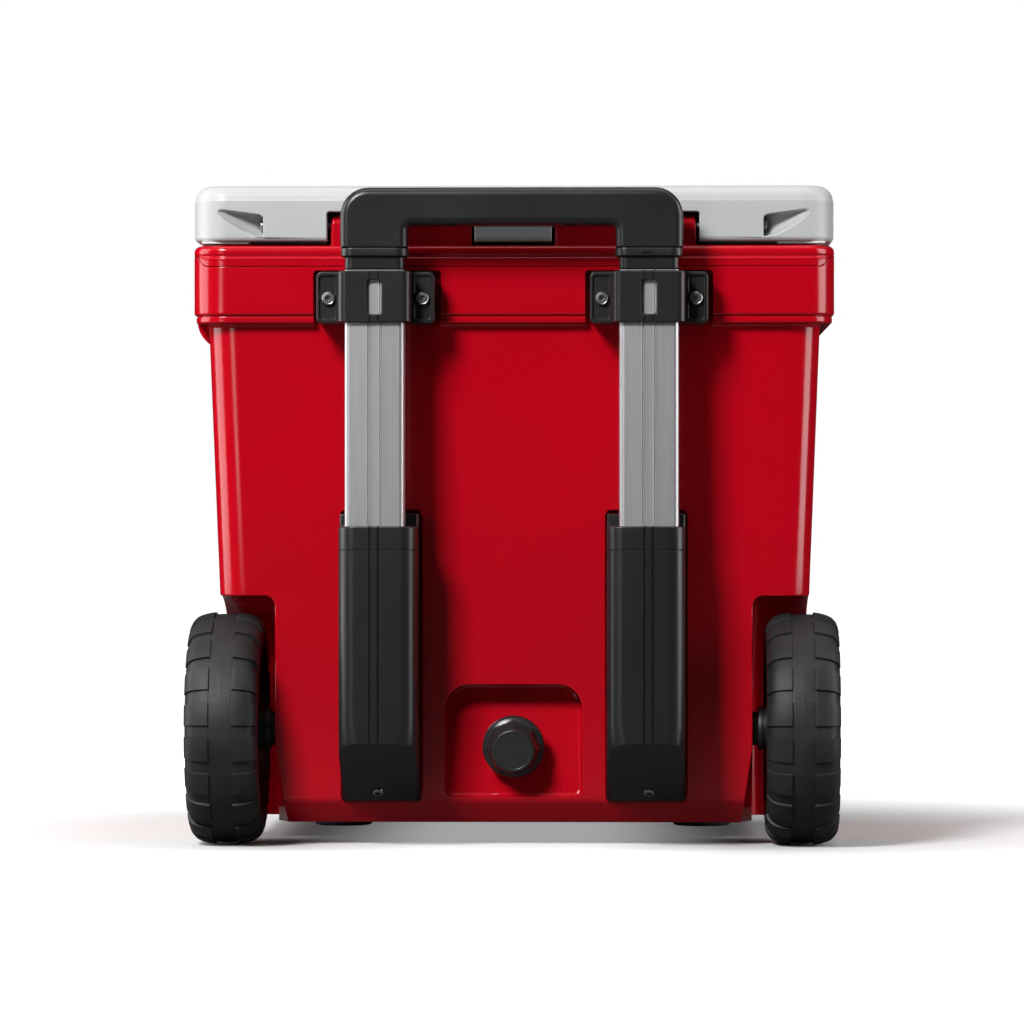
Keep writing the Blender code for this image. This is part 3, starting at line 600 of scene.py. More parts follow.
frame_rings = []
frame_profile = (
    (-0.0007, 0.0), (-0.0002, 0.02), (0.0, 0.06), (0.0, 0.5), (0.0001, 0.56), (0.0004, 0.62),
    (0.0004, 0.68), (0.0, 0.75), (-0.0006, 0.8), (-0.001, 0.86), (-0.001, 0.93), (-0.0007, 0.98),
)
for out, share in frame_profile:
    ring = []
    for x, y in rim_outline(out):
        low = parting_height(x) + 0.00025
        ring.append((x, y, low + (BEAD_LOW - low) * share))
    frame_rings.append(ring)
bead_profile = (
    (-0.0005, 0.46325), (-0.0001, 0.4638), (0.0, 0.4646), (0.0, 0.466), (-0.0002, 0.4671),
    (-0.0006, 0.4681), (-0.0013, 0.469), (-0.0022, 0.46975), (-0.0033, 0.47035), (-0.0045, 0.47075),
    (-0.0057, 0.471),
)
frame_rings += [stood(rim_outline(out), "Z", z) for out, z in bead_profile]
frame_rings.append(stood(rim_outline(-0.012), "Z", 0.471))
frame_rings.insert(0, stood(rim_outline(-0.012), "Z", PARTING_Z + 0.0004))
top_frame = skin("top_frame.visual", frame_rings)
mouth = extruded("mouth", rounded(-0.2115, 0.2115, -0.1465, 0.1935, 0.02), "Z", 0.44, 0.49)
ledge_line = rounded(-0.2446, 0.2446, -0.1845, 0.215, 0.022)
ledge_rings = [stood(ledge_line, "Z", LEDGE_Z), stood(ledge_line, "Z", 0.47)]
ledge_rings.append(stood(rounded(-0.2455, 0.2455, -0.1852, 0.2159, 0.0229), "Z", 0.4711))
ledge_rings.append(stood(rounded(-0.2455, 0.2455, -0.1852, 0.2159, 0.0229), "Z", 0.49))
carve(top_frame, mouth, skin("ledge", ledge_rings))


def tower(sign):
    """A hinge tower: round over the pin, with its ends leaning in as they rise."""
    reach = 0.0085
    outline = [
        (HINGE_Y - reach, 0.457), (-0.152, 0.457), (-0.152, 0.485), (-0.1535, 0.4885),
        (-0.158, 0.4925),
    ]
    for k in range(13):
        angle = math.radians(60 + 10 * k)
        outline.append((HINGE_Y + reach * math.cos(angle), HINGE_Z + reach * math.sin(angle)))
    low, high = span(sign, *TOWER_X)
    body = extruded("tower", outline, "X", low, high)
    for end in (low, high):
        soften(body, 0.0022, ("X", end - 0.0005, end + 0.0005), ("Z", 0.46, 1), segments=4)
    middle = (low + high) / 2
    for vert in body.data.vertices:
        lean = 0.055 * max(0.0, vert.co.z - 0.465)
        vert.co.x += -lean if vert.co.x > middle else lean
    return body


for sign in (-1, 1):
    fuse(top_frame, tower(sign))
for sign in (-1, 1):
    bore = span(sign, 0.02, 0.16)
    carve(top_frame, round_bar("pin bore", "X", (0, HINGE_Y, HINGE_Z), HINGE_BORE, *bore))
finish_piece(top_frame, red_plastic, "root")


# Inner liner and foam. The white food-safe liner hangs in the top frame by its flange, is
# stepped in over the wheel wells, and stands two raised lips under the lid's side edges.
# The space between it and the shell is filled with rigid foam, which only its maker sees.
LINER_LOW = 0.07
STEP = (0.163, -0.012, 0.222)

white_plastic = moulded_plastic(
    "white liner plastic", (0.8, 0.8, 0.78), (0.28, 0.36), 900.0, 0.00003, 0.35
)


def liner_form(grow, low, high, floor_round):
    made = []
    for tuck, z in [(inset, low + rise) for inset, rise in edge_round(floor_round, 6)] + [(0, high)]:
        lean = 0.016 * (LEDGE_Z - z) / (LEDGE_Z - LINER_LOW) + tuck - grow
        outline = rounded(
            lean - 0.208, 0.208 - lean, lean - 0.145, 0.19 - lean, max(0.003, 0.018 + grow - tuck)
        )
        made.append(stood(outline, "Z", z))
    form = skin("liner form", made)
    for sign in (-1, 1):
        low_x, high_x = span(sign, STEP[0] + grow, 0.3)
        edge = STEP[0] + 0.01
        form_step = block("step", (low_x, -0.3, 0), (high_x, STEP[1] - grow, STEP[2] - grow))
        soften(
            form_step, 0.008, ("X", -edge, edge), ("Y", -0.2, 0.1), ("Z", 0.01, 0.3), segments=5
        )
        carve(form, form_step)
    return form


liner = liner_form(0, LINER_LOW, LEDGE_Z + 0.002, 0.01)
liner.name = "inner_liner.visual"
flange_line = rounded(-0.244, 0.244, -0.1495, 0.214, 0.021)
flange = extruded("flange", flange_line, "Z", LEDGE_Z + 0.0003, 0.4645)
fuse(liner, soften(flange, 0.0008, ("Z", 0.464, 0.465)))
for sign in (-1, 1):
    low, high = span(sign, 0.215, 0.244)
    lip = extruded("lip", rounded(low, high, -0.149, 0.2, 0.01), "Z", 0.463, 0.4728)
    fuse(liner, soften(lip, 0.0012, ("Z", 0.4727, 0.4729)))
carve(liner, liner_form(-0.003, LINER_LOW + 0.003, 0.48, 0.01))
soften(liner, 0.0012, ("X", -0.207, 0.207), ("Y", -0.143, 0.189), ("Z", 0.464, 0.465), angle=50)
liner_bore = along_drain(round_bar("bore", "Z", (0, 0, 0), 0.0126, -0.03, 0.08, 48))
carve(liner, liner_bore)
finish_piece(liner, white_plastic, "root")


def grained(
    name, colour, roughness, metallic, grain, depth, gloss=(), tones=(), dust=(), stretch=None,
    **inputs
):
    """A material with an uneven surface. grain is a texture, as the kind of node and its inputs,
    that raises bumps of a depth and spreads the roughness over gloss. tones are two stops of
    colour, laid out by dust, which is a second texture, or else by the grain."""
    material, shader = new_material(name, colour, roughness, metallic, **inputs)
    tree = material.node_tree
    start = (add_node(tree, "TexCoord"), "Object")
    if stretch:
        mapping = add_node(tree, "Mapping", Scale=stretch)
        wire(tree, (*start, mapping, "Vector"))
        start = (mapping, "Vector")
    made = []
    for kind, values in (grain, *dust):
        texture = add_node(tree, kind, **values)
        wire(tree, (*start, texture, "Vector"))
        made.append((texture, "Distance" if kind == "TexVoronoi" else "Fac"))
    bump = add_node(tree, "Bump", Distance=depth)
    wire(tree, (*made[0], bump, "Height"), (bump, "Normal", shader, "Normal"))
    if gloss:
        shine = add_node(tree, "MapRange", To_Min=gloss[0], To_Max=gloss[1])
        wire(tree, (*made[0], shine, "Value"), (shine, "Result", shader, "Roughness"))
    if tones:
        ramp = add_node(tree, "ValToRGB")
        for stop, (position, tone) in zip(ramp.color_ramp.elements, tones):
            stop.position, stop.color = position, (*tone, 1)
        wire(tree, (*made[-1], ramp, "Fac"), (ramp, "Color", shader, "Base Color"))
    return material


foam = grained(
    "rigid foam", (0.75, 0.62, 0.3), 0.9, 0.0, ("TexVoronoi", {"Scale": 700.0}), 0.0003,
    tones=((0.0, (0.8, 0.68, 0.36)), (1.0, (0.62, 0.48, 0.2))),
)


def dress(material, *nodes):
    """Gives CAD pieces that stay as they are a better material."""
    for node in nodes:
        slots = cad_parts[node].data.materials
        for k in range(len(slots)):
            slots[k] = material


def copied(node):
    """A copy of a CAD piece, to be trimmed."""
    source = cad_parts[node]
    piece = bpy.data.objects.new(node + ".visual", source.data.copy())
    piece.data.transform(source.matrix_world)
    bpy.context.scene.collection.objects.link(piece)
    return piece


core = copied("foam_core")
for sign in (-1, 1):
    carve(core, well(sign, SHELL_THICK + 0.0003))
finish_piece(core, foam, "root", smooth=0)


# Feet. Two round rubber pads are pressed into the shell's underside at the front, each with a
# rounded rim and a ring of shallow grip grooves underneath.
soft_rubber = moulded_plastic(
    "soft black rubber", (0.018, 0.018, 0.019), (0.62, 0.75), 1500.0, 0.00006, 0.5
)
foot_line = [
    (0.0006, 0.0), (0.009, 0.0), (0.0094, 0.0008), (0.0106, 0.0008), (0.011, 0.0), (0.015, 0.0),
    (0.0154, 0.0008), (0.0166, 0.0008), (0.017, 0.0), (0.0215, 0.0), (0.0228, 0.0004),
    (0.0237, 0.0013), (0.024, 0.0025), (0.0236, 0.012), (0.0232, 0.0172), (0.0006, 0.0172),
]
for side, sign in SIDES:
    foot = turned(f"foot_{side}.visual", foot_line, "Z", (sign * 0.15, 0.13, 0), 72)
    finish_piece(foot, soft_rubber, "root")


# Wheels. Each is a hollow blow-moulded tyre with two rows of raised blocks either side of a
# smooth middle band. It is pressed on a black spoked rim, and turns on a steel stub axle that
# stands out of the well's wall. A ribbed spacer keeps it off the wall, and a cap covers its end.
WHEEL_IN, WHEEL_OUT = 0.1975, 0.2552
WHEEL_MIDDLE = (WHEEL_IN + WHEEL_OUT) / 2
BLOCKS = 20
BLOCK_HIGH = 0.0019
SPOKES, RIB_HALF = 6, 0.0016

tyre_rubber = grained(
    "moulded tyre", (0.04, 0.04, 0.041), 0.6, 0.0,
    ("TexNoise", {"Scale": 1100.0, "Detail": 4.0, "Roughness": 0.6}), 0.00022, gloss=(0.38, 0.62),
    tones=((0.35, (0.013, 0.013, 0.014)), (0.7, (0.024, 0.024, 0.025))),
    dust=[("TexNoise", {"Scale": 38.0, "Detail": 5.0})], Specular_IOR_Level=0.35,
)

black_plastic = moulded_plastic(
    "black glass-filled nylon", (0.0125, 0.0125, 0.013), (0.3, 0.38), 1500.0, 0.00005, 0.4
)
inner_black = moulded_plastic(
    "black wheel plastic", (0.011, 0.011, 0.012), (0.38, 0.5), 1800.0, 0.00005, 0.4
)
steel = grained(
    "stainless steel", (0.4, 0.4, 0.4), 0.3, 1.0,
    ("TexNoise", {"Scale": 900.0, "Detail": 4.0}), 0.00002, gloss=(0.22, 0.42),
)


def tyre_section():
    """Half the tyre's width, middle first. Each point is its distance from the middle and its
    radius, and how far a block stands out there in radius and in width."""
    points = [
        (0.0, 0.09058, 0), (0.0003, 0.0905, 0), (0.003, 0.09046, 0), (0.0065, 0.0903, 0),
        (0.0083, 0.09015, 0), (0.0087, 0.0901, 0), (0.0091, 0.08985, 1), (0.0097, 0.09, 1),
        (0.0135, 0.0895, 1), (0.0172, 0.08865, 1),
    ]
    points = [(d, r - 0.0004, up, 0) for d, r, up in points]
    points += [
        (0.0203, 0.08715, 1, 0.1), (0.0224, 0.086, 0.9, 0.4), (0.0238, 0.0848, 0.7, 0.6),
        (0.0253, 0.0829, 0.5, 0.8), (0.0265, 0.0803, 0.2, 0.9), (0.0272, 0.0782, 0.1, 0.8),
        (0.0275, 0.0776, 0, 0.6), (0.028, 0.077, 0, 0),
    ]
    rest = [
        (0.0285, 0.0735), (0.0285, 0.0705), (0.0278, 0.0686), (0.027, 0.0678), (0.0258, 0.0674),
        (0.025, 0.0666),
    ]
    return points + [(d, r, 0, 0) for d, r in rest]


def tyre(name, sign):
    """The whole tyre as one grid, with the blocks raised where both directions allow."""
    half = tyre_section()
    line = [(-d, r, up, -side) for d, r, up, side in reversed(half)] + half[1:]
    line += [(0.025, 0.0664, 0, 0), (0.0, 0.0664, 0, 0), (-0.025, 0.0664, 0, 0)]
    shares = (0.0, 0.12, 0.165, 0.185, 0.22, 0.36, 0.5, 0.64, 0.78, 0.815, 0.835, 0.88)
    raised = (0, 0, 0, 1, 1, 1, 1, 1, 1, 1, 0, 0)
    rings = []
    for number in range(BLOCKS):
        for share, high in zip(shares, raised):
            angle = 2 * math.pi * (number + share) / BLOCKS
            ring = []
            for distance, radius, up, side in line:
                reach = radius + BLOCK_HIGH * up * high
                x = sign * (WHEEL_MIDDLE + distance + BLOCK_HIGH * side * high)
                y, z = WHEEL_Y + reach * math.cos(angle), WHEEL_Z + reach * math.sin(angle)
                ring.append((x, y, z))
            rings.append(ring)
    return skin(name, rings, looped=True)


def wheel_turned(name, sign, profile, steps=72):
    return turned(name, [(r, sign * x) for r, x in profile], "X", (0, WHEEL_Y, WHEEL_Z), steps)


def spoke_window(sign, number):
    """One of the openings between the spokes, as a round-cornered wedge."""
    near, far, gap, count = 0.0275, 0.0548, 0.0062, 7
    spread = 2 * math.pi / SPOKES
    points = []
    for radius, way in ((near, -1), (far, 1)):
        turn = spread / 2 - math.asin(gap / radius)
        for k in range(count):
            points.append((radius, way * turn - 2 * way * turn * k / (count - 1)))
    outline = []
    for radius, turn in points:
        angle = turn + spread * number
        outline.append((WHEEL_Y + radius * math.cos(angle), WHEEL_Z + radius * math.sin(angle)))
    window = extruded("window", outline, "X", *span(sign, 0.208, 0.245))
    return soften(window, 0.0035, angle=50, segments=4)


for side, sign in SIDES:
    body = "wheel_" + side
    rubber = tyre(f"tyre_{side}.visual", sign)
    finish_piece(rubber, tyre_rubber, body, smooth=32)

    rim_line = [
        (0.066, 0.2505), (0.0656, 0.2512), (0.064, 0.2512), (0.0628, 0.25), (0.0612, 0.238),
        (0.0598, 0.2325), (0.058, 0.231), (0.026, 0.233), (0.0238, 0.2345), (0.0224, 0.2455),
        (0.0214, 0.247), (0.0096, 0.247), (0.0096, 0.2024), (0.0206, 0.2024), (0.0215, 0.2032),
        (0.0226, 0.22), (0.025, 0.2226), (0.058, 0.223), (0.0598, 0.221), (0.0612, 0.215),
        (0.0626, 0.203), (0.064, 0.2016), (0.0656, 0.2018), (0.066, 0.2024),
    ]
    rim = wheel_turned(f"wheel_rim_{side}.visual", sign, rim_line, 96)
    for number in range(SPOKES):
        carve(rim, spoke_window(sign, number))
    for number in range(SPOKES):
        angle = math.radians(60 * number + 30)
        rings = []
        for across in (-RIB_HALF, RIB_HALF):
            ring = []
            for radius, x in ((0.0225, 0.205), (0.0225, 0.225), (0.061, 0.225), (0.061, 0.216)):
                y = WHEEL_Y + radius * math.cos(angle) - across * math.sin(angle)
                z = WHEEL_Z + radius * math.sin(angle) + across * math.cos(angle)
                ring.append((sign * x, y, z))
            rings.append(ring)
        fuse(rim, skin("rib", rings))
    soften(rim, 0.0006, angle=48, segments=2)
    finish_piece(rim, inner_black, body)

    cap_line = [
        (0.0006, 0.25), (0.0172, 0.25), (0.0172, 0.2473), (0.0193, 0.2473), (0.02, 0.2479),
        (0.02, 0.2512), (0.0195, 0.2522), (0.0182, 0.2529), (0.015, 0.2533), (0.0146, 0.2529),
        (0.0138, 0.2529), (0.0134, 0.2533), (0.006, 0.2536), (0.0006, 0.2537),
    ]
    cap = wheel_turned(f"wheel_cap_{side}.visual", sign, cap_line)
    finish_piece(cap, black_plastic, body)

    spacer_line = [
        (0.0064, 0.1878), (0.013, 0.1878), (0.0135, 0.1883), (0.0135, 0.1916), (0.017, 0.192),
        (0.0175, 0.1926), (0.0175, 0.1952), (0.016, 0.1956), (0.016, 0.198), (0.0175, 0.1984),
        (0.0175, 0.2014), (0.017, 0.2019), (0.0064, 0.2019),
    ]
    spacer = wheel_turned(f"hub_spacer_{side}.visual", sign, spacer_line)
    finish_piece(spacer, inner_black, "root")
    dress(steel, "stub_axle_" + side)
    dress(white_plastic, "wheel_bush_" + side)


# Drain. A threaded fitting stands in the recess, and a glossy black cap screws into it. The
# cap has a round flange, an eight-sided tapered head for the fingers, and a flat round face.
cap_black = moulded_plastic(
    "glossy black cap", (0.024, 0.024, 0.025), (0.27, 0.35), 1400.0, 0.00003, 0.3
)


def cap_ring(radius, height, flat, steps=96):
    """A ring that is round at flat 0 and eight-sided at flat 1."""
    points = []
    for k in range(steps):
        angle = 2 * math.pi * k / steps
        side = math.radians(45)
        off = (angle % side) - side / 2
        reach = math.cos(side / 2) / math.cos(off)
        r = radius * (1 - flat * (1 - reach))
        points.append((r * math.cos(angle), r * math.sin(angle), height))
    return points


cap_levels = [
    (0.006, 0.017, 0), (0.0078, 0.0168, 0), (0.0084, 0.016, 0), (0.0085, -0.0017, 0),
    (0.0205, -0.0017, 0), (0.0205, 0.0029, 0), (0.0236, 0.003, 0), (0.0243, 0.0022, 0),
    (0.0243, -0.0028, 0), (0.024, -0.0038, 0), (0.0232, -0.0047, 0), (0.0222, -0.0054, 0.1),
    (0.0216, -0.006, 0.5), (0.0213, -0.0068, 0.95), (0.021, -0.008, 1), (0.0204, -0.011, 1),
    (0.0192, -0.015, 1), (0.0181, -0.0182, 0.85), (0.0174, -0.0196, 0.5), (0.0166, -0.0205, 0.15),
    (0.0158, -0.0209, 0), (0.0146, -0.021, 0), (0.0142, -0.0207, 0), (0.0136, -0.0207, 0),
    (0.006, -0.0208, 0),
]
drain_cap = along_drain(skin("drain_cap.visual", [cap_ring(*level) for level in cap_levels]))
finish_piece(drain_cap, cap_black, "drain_cap_body", smooth=38)

fitting_line = [(0.009, 0.001), (0.0196, 0.001), (0.02, 0.0014), (0.02, 0.0042), (0.015, 0.0042)]
for k in range(9):
    height = 0.0062 + 0.003 * k
    fitting_line += [(0.0143, height), (0.015, height + 0.0012), (0.015, height + 0.0018)]
fitting_line += [(0.0143, 0.034), (0.0124, 0.0342), (0.0124, 0.0416), (0.012, 0.042), (0.009, 0.042)]
fitting = along_drain(turned("drain_fitting.visual", fitting_line, "Z", (0, 0, 0), 64))
finish_piece(fitting, inner_black, "root")
dress(inner_black, "drain_nut")
dress(soft_rubber, "drain_seal")


# Tube housings. Each outer tube stands in a black moulded housing that is screwed into a
# pocket of the shell. It has round back corners, two fine grooves down its back, a seam near
# its top, and a sloping foot that takes the knocks when the cooler is pulled over a step.
FOOT_TOP = 0.098           # where the foot's slope reaches the housing's back
HOUSING_BACK = -0.2365
OUTER_SIZE = (0.0462, 0.025)
MIDDLE_SIZE = (0.042, 0.0208)
INNER_SIZE = (0.038, 0.0168)
TUBE_WALL = 0.0015
OUTER_LOW, TUBE_TOP = 0.092, 0.4495
GROOVE_APART = 0.0033


def tube_line(sign, size, grow=0.0, radius=0.0042, grooves=None, steps=8):
    """A flat tube's outline on its axis, with two fine grooves down each broad side."""
    half_x, half_y = size[0] / 2 + grow, size[1] / 2 + grow
    line = rounded(-half_x, half_x, -half_y, half_y, radius, steps)
    if grooves:
        apart, wide, deep = grooves
        notch = (
            (wide / 2 + 0.0004, 0), (wide / 2, -0.0002), (wide / 4, deep), (-wide / 4, deep),
            (-wide / 2, -0.0002), (-wide / 2 - 0.0004, 0),
        )
        upper = [(middle + u, half_y - v) for middle in (apart, -apart) for u, v in notch]
        lower = [(-u, -v) for u, v in upper]
        corner = steps + 1
        line = line[:corner] + upper + line[corner:3 * corner] + lower + line[3 * corner:]
    return [(sign * TUBE_X + u, TUBE_Y + v) for u, v in line]


for side, sign in SIDES:
    x = sign * TUBE_X
    low, high = span(sign, *HOUSING_X)
    rings = []
    for z, inset in (
        (HOUSING_LOW, 0.0), (0.06, 0.0), (0.078, 0.0), (FOOT_TOP, 0.0), (0.232, 0.0),
        (0.2324, 0.0004), (0.233, 0.0004), (0.2334, 0.0), (0.2495, 0.0), (0.2502, 0.0002),
        (0.2508, 0.0007), (0.251, 0.0012),
    ):
        corner = 0.013 + 0.01 * min(1.0, max(0.0, (FOOT_TOP - z) / 0.05))
        radii = (0.002, 0.002, corner, corner)
        outline = rounded(low + inset, high - inset, HOUSING_BACK + inset, -0.1603, radii)
        rings.append(stood(outline, "Z", z))
    housing = skin(f"tube_housing_{side}.visual", rings)
    front_line = rounded(low, high, -0.206, -0.1603, 0.002, 4)
    fuse(housing, soften(extruded("front", front_line, "Z", 0.24, 0.2605), 0.001, ("Z", 0.26, 1)))
    foot_line = [(-0.26, FOOT_TOP), (-0.161, 0.0336), (-0.161, 0.02), (-0.26, 0.02)]
    carve(housing, extruded("foot cut", foot_line, "X", low - 0.01, high + 0.01))
    soften(housing, 0.0024, ("Y", -0.234, -0.164), ("Z", 0.036, 0.086), angle=25, segments=5)
    bore_profile = (
        (0.0004, OUTER_LOW - 0.0003), (0.0004, 0.2498), (0.0006, 0.2503), (0.0011, 0.2508),
        (0.0018, 0.2512), (0.0022, 0.27),
    )
    carve(housing, levels("bore", "Z", bore_profile, lambda grow: tube_line(sign, OUTER_SIZE, grow)))
    for apart in (-GROOVE_APART, GROOVE_APART):
        line = [
            (x + apart - 0.001, HOUSING_BACK - 0.0002), (x + apart - 0.0006, HOUSING_BACK + 0.0015),
            (x + apart + 0.0006, HOUSING_BACK + 0.0015), (x + apart + 0.001, HOUSING_BACK - 0.0002),
        ]
        carve(housing, extruded("groove", line, "Z", 0.081, 0.26))
    slope = math.atan2(0.0644, 0.099)
    stand = Matrix.Translation((x, -0.175, FOOT_TOP - 0.085 * math.tan(slope)))
    stand = stand @ Matrix.Rotation(-slope, 4, "X")
    screw_hole = round_bar("hole", "Z", (0, 0, 0), 0.0052, -0.02, 0.0062)
    screw_hole.data.transform(stand)
    carve(housing, screw_hole)
    finish_piece(housing, black_plastic, "root")

    screw_line = [
        (0.0006, 0.0058), (0.0048, 0.0058), (0.0048, -0.0002), (0.0046, -0.0011), (0.004, -0.0017),
        (0.003, -0.0019), (0.0006, -0.0019),
    ]
    screw = turned(f"housing_screw_{side}.visual", screw_line, "Z", (0, 0, 0), 40)
    carve(screw, round_bar("socket", "Z", (0, 0, 0), 0.0026, -0.01, 0.001, 6))
    screw.data.transform(stand)
    finish_piece(screw, steel, "root")


# Pull tubes. Three sizes of flat drawn aluminium tube slide in each other, with a strip set
# off by two fine grooves down each broad side. They are satin anodised, so drawing lines show.
aluminium = grained(
    "satin anodised aluminium", (0.66, 0.66, 0.67), 0.4, 0.75,
    ("TexNoise", {"Scale": 1.0, "Detail": 3.0}), 0.00001, gloss=(0.34, 0.46),
    tones=((0.3, (0.47, 0.47, 0.48)), (0.7, (0.56, 0.56, 0.57))), stretch=(2600.0, 2600.0, 9.0),
)

STRIP_GROOVES = (0.0047, 0.0016, 0.0008)
EDGE = 0.0003              # the break on the tubes' cut ends
for side, sign in SIDES:
    for name, size, radius, low, body in (
        ("outer_tube_", OUTER_SIZE, 0.0042, OUTER_LOW, "root"),
        ("middle_tube_", MIDDLE_SIZE, 0.004, 0.105, "handle_middle"),
        ("inner_tube_", INNER_SIZE, 0.0036, 0.118, "handle_upper"),
    ):
        profile = (
            (-EDGE, low), (0, low + EDGE), (0, TUBE_TOP - EDGE), (-EDGE, TUBE_TOP),
            (-TUBE_WALL + EDGE, TUBE_TOP), (-TUBE_WALL, TUBE_TOP - EDGE), (-TUBE_WALL, low + EDGE),
            (-TUBE_WALL + EDGE, low),
        )
        tube = levels(
            f"{name}{side}.visual", "Z", profile,
            lambda grow: tube_line(sign, size, grow, radius + grow, STRIP_GROOVES), looped=True,
        )
        finish_piece(tube, aluminium, body, smooth=30)


# Clamp brackets. A black bracket grips the top of each outer tube against the shell's rim. Its
# two ears have sunk panels with a steel cap screw each, and its hump has a window on the tube.
BRACKET_LOW, BRACKET_HIGH = 0.4084, 0.4487
SCREW_OUT, SCREW_Z = 0.0366, 0.428
for side, sign in SIDES:
    x = sign * TUBE_X
    plate_line = rounded(BRACKET_LOW, BRACKET_HIGH, x - 0.0459, x + 0.0459, 0.004, 6)
    bracket = extruded(f"clamp_bracket_{side}.visual", plate_line, "Y", -0.214, -0.1773)
    soften(bracket, 0.0012, ("Y", -0.2145, -0.2135), segments=4)
    for ear in (-1, 1):
        near, far = sorted((x + ear * 0.0302, x + ear * 0.0438))
        panel = levels(
            "panel", "Y", ((0.001, -0.2121), (0.0004, -0.2123), (0, -0.2129), (-0.0003, -0.22)),
            lambda inset: rounded(
                BRACKET_LOW + 0.0028 + inset, BRACKET_HIGH - 0.0028 - inset,
                near + inset, far - inset, 0.0026 - inset, 5,
            ),
        )
        carve(bracket, panel)
    profile = (
        (0.0016, BRACKET_LOW), (0.0007, BRACKET_LOW + 0.0004), (0.0, BRACKET_LOW + 0.0012),
        (0.0, BRACKET_HIGH - 0.0012), (0.0007, BRACKET_HIGH - 0.0004), (0.0016, BRACKET_HIGH),
    )
    hump = levels("hump", "Z", profile, lambda inset: rounded(
        x - 0.0283 + inset, x + 0.0283 - inset, -0.237 + inset, -0.19,
        (0.001, 0.001, 0.0065, 0.0065), 7,
    ))
    fuse(bracket, hump)
    carve(bracket, extruded("bore", tube_line(sign, OUTER_SIZE, 0.0003), "Z", 0.4, 0.46))
    profile = ((0, -0.225), (0, -0.2362), (0.0004, -0.2367), (0.001, -0.2371), (0.0014, -0.245))
    window = levels("window", "Y", profile, lambda grow: rounded(
        0.415 - grow, 0.4415 + grow, x - 0.006 - grow, x + 0.006 + grow, 0.003, 5
    ))
    carve(bracket, window)
    for apart in (-GROOVE_APART, GROOVE_APART):
        line = [
            (x + apart - 0.0009, -0.2375), (x + apart - 0.0003, -0.236),
            (x + apart + 0.0003, -0.236), (x + apart + 0.0009, -0.2375),
        ]
        carve(bracket, extruded("groove", line, "Z", 0.4, 0.4136))
        carve(bracket, extruded("groove", line, "Z", 0.4428, 0.46))
    for spot, centre in (("outer", x + sign * SCREW_OUT), ("inner", x - sign * SCREW_OUT)):
        carve(bracket, round_bar("hole", "Y", (centre, 0, SCREW_Z), 0.0028, -0.23, -0.17))
        name = f"bracket_screw_{side}_{spot}"
        head = [
            (0.0006, -0.216), (0.0006, -0.158), (0.0025, -0.158), (0.0025, -0.2125),
            (0.0048, -0.2125), (0.005, -0.213), (0.005, -0.2152), (0.0048, -0.2156),
            (0.0044, -0.2158), (0.0041, -0.2157), (0.0039, -0.216), (0.003, -0.2161),
        ]
        screw = turned(name + ".visual", head, "Y", (centre, 0, SCREW_Z), 48)
        carve(screw, round_bar("socket", "Y", (centre, 0, SCREW_Z), 0.0025, -0.22, -0.2138, 6))
        finish_piece(screw, steel, "root")
    finish_piece(bracket, black_plastic, "root")


# Grip. A black nylon bar with two legs is fixed on the inner tubes by a collar under each leg.
# A button in its top pushes a yoke and two rods down the tubes to free the locks.
COLLAR_LOW, COLLAR_HIGH = 0.45, 0.4665
for side, sign in SIDES:
    profile = (
        (-0.0008, COLLAR_LOW), (-0.0002, COLLAR_LOW + 0.0004), (0.0, COLLAR_LOW + 0.001),
        (0.0, 0.4586), (0.0004, 0.4592), (0.0022, 0.4598), (0.0029, 0.4604), (0.003, 0.4612),
        (0.003, COLLAR_HIGH - 0.001), (0.0026, COLLAR_HIGH - 0.0003), (0.0016, COLLAR_HIGH),
    )
    collar = levels(
        f"collar_{side}.visual", "Z", profile,
        lambda grow: tube_line(sign, OUTER_SIZE, grow, 0.006 + grow),
    )
    carve(collar, round_bar("bore", "Z", (sign * TUBE_X, TUBE_Y, 0), 0.004, 0.44, 0.48))
    if sign > 0:
        slot_line = rounded(0.4614, 0.463, TUBE_X - 0.0052, TUBE_X + 0.003, 0.0006, 3)
        carve(collar, extruded("slot", slot_line, "Y", -0.24, -0.2343))
    finish_piece(collar, black_plastic, "handle_upper")

GRIP_LOW, GRIP_HIGH = 0.4668, 0.5132
GRIP_HALF, GRIP_IN = 0.1327, 0.0807
GRIP_CORNER = 0.022
BAR_LOW = 0.4837
grip_line = [(-GRIP_HALF, GRIP_LOW), (-GRIP_IN, GRIP_LOW)]
for k in range(7):
    angle = math.radians(180 - 15 * k)
    grip_line.append(
        (-GRIP_IN + 0.004 + 0.004 * math.cos(angle), BAR_LOW - 0.004 + 0.004 * math.sin(angle))
    )
grip_line += [(-u, v) for u, v in reversed(grip_line)]
for start, way in ((0, 1), (90, -1)):
    for k in range(13):
        angle = math.radians(start + 7.5 * k)
        corner_x = way * (GRIP_HALF - GRIP_CORNER) + GRIP_CORNER * math.cos(angle)
        grip_line.append((corner_x, GRIP_HIGH - GRIP_CORNER + GRIP_CORNER * math.sin(angle)))
grip = extruded("grip.visual", [(v, u) for u, v in grip_line], "Y", -0.2355, -0.205)
soften(grip, 0.0062, ("Z", 0.4672, 1), angle=60, segments=6)
soften(grip, 0.001, ("Z", 0.466, 0.4672), angle=60, segments=3)
for low, high in ((-0.0513, -0.0418), (0.0408, 0.0503)):
    notch = rounded(BAR_LOW - 0.004, BAR_LOW + 0.0011, low, high, 0.0009, 3)
    carve(grip, extruded("notch", notch, "Y", -0.24, -0.229))
channel = block("channel", (-0.111, TUBE_Y - 0.006, 0.4915), (0.111, TUBE_Y + 0.006, 0.503))
well_line = rounded(-0.0187, 0.0187, TUBE_Y - 0.009, TUBE_Y + 0.009, 0.003, 5)
carve(grip, channel, extruded("button well", well_line, "Z", 0.4975, 0.52))
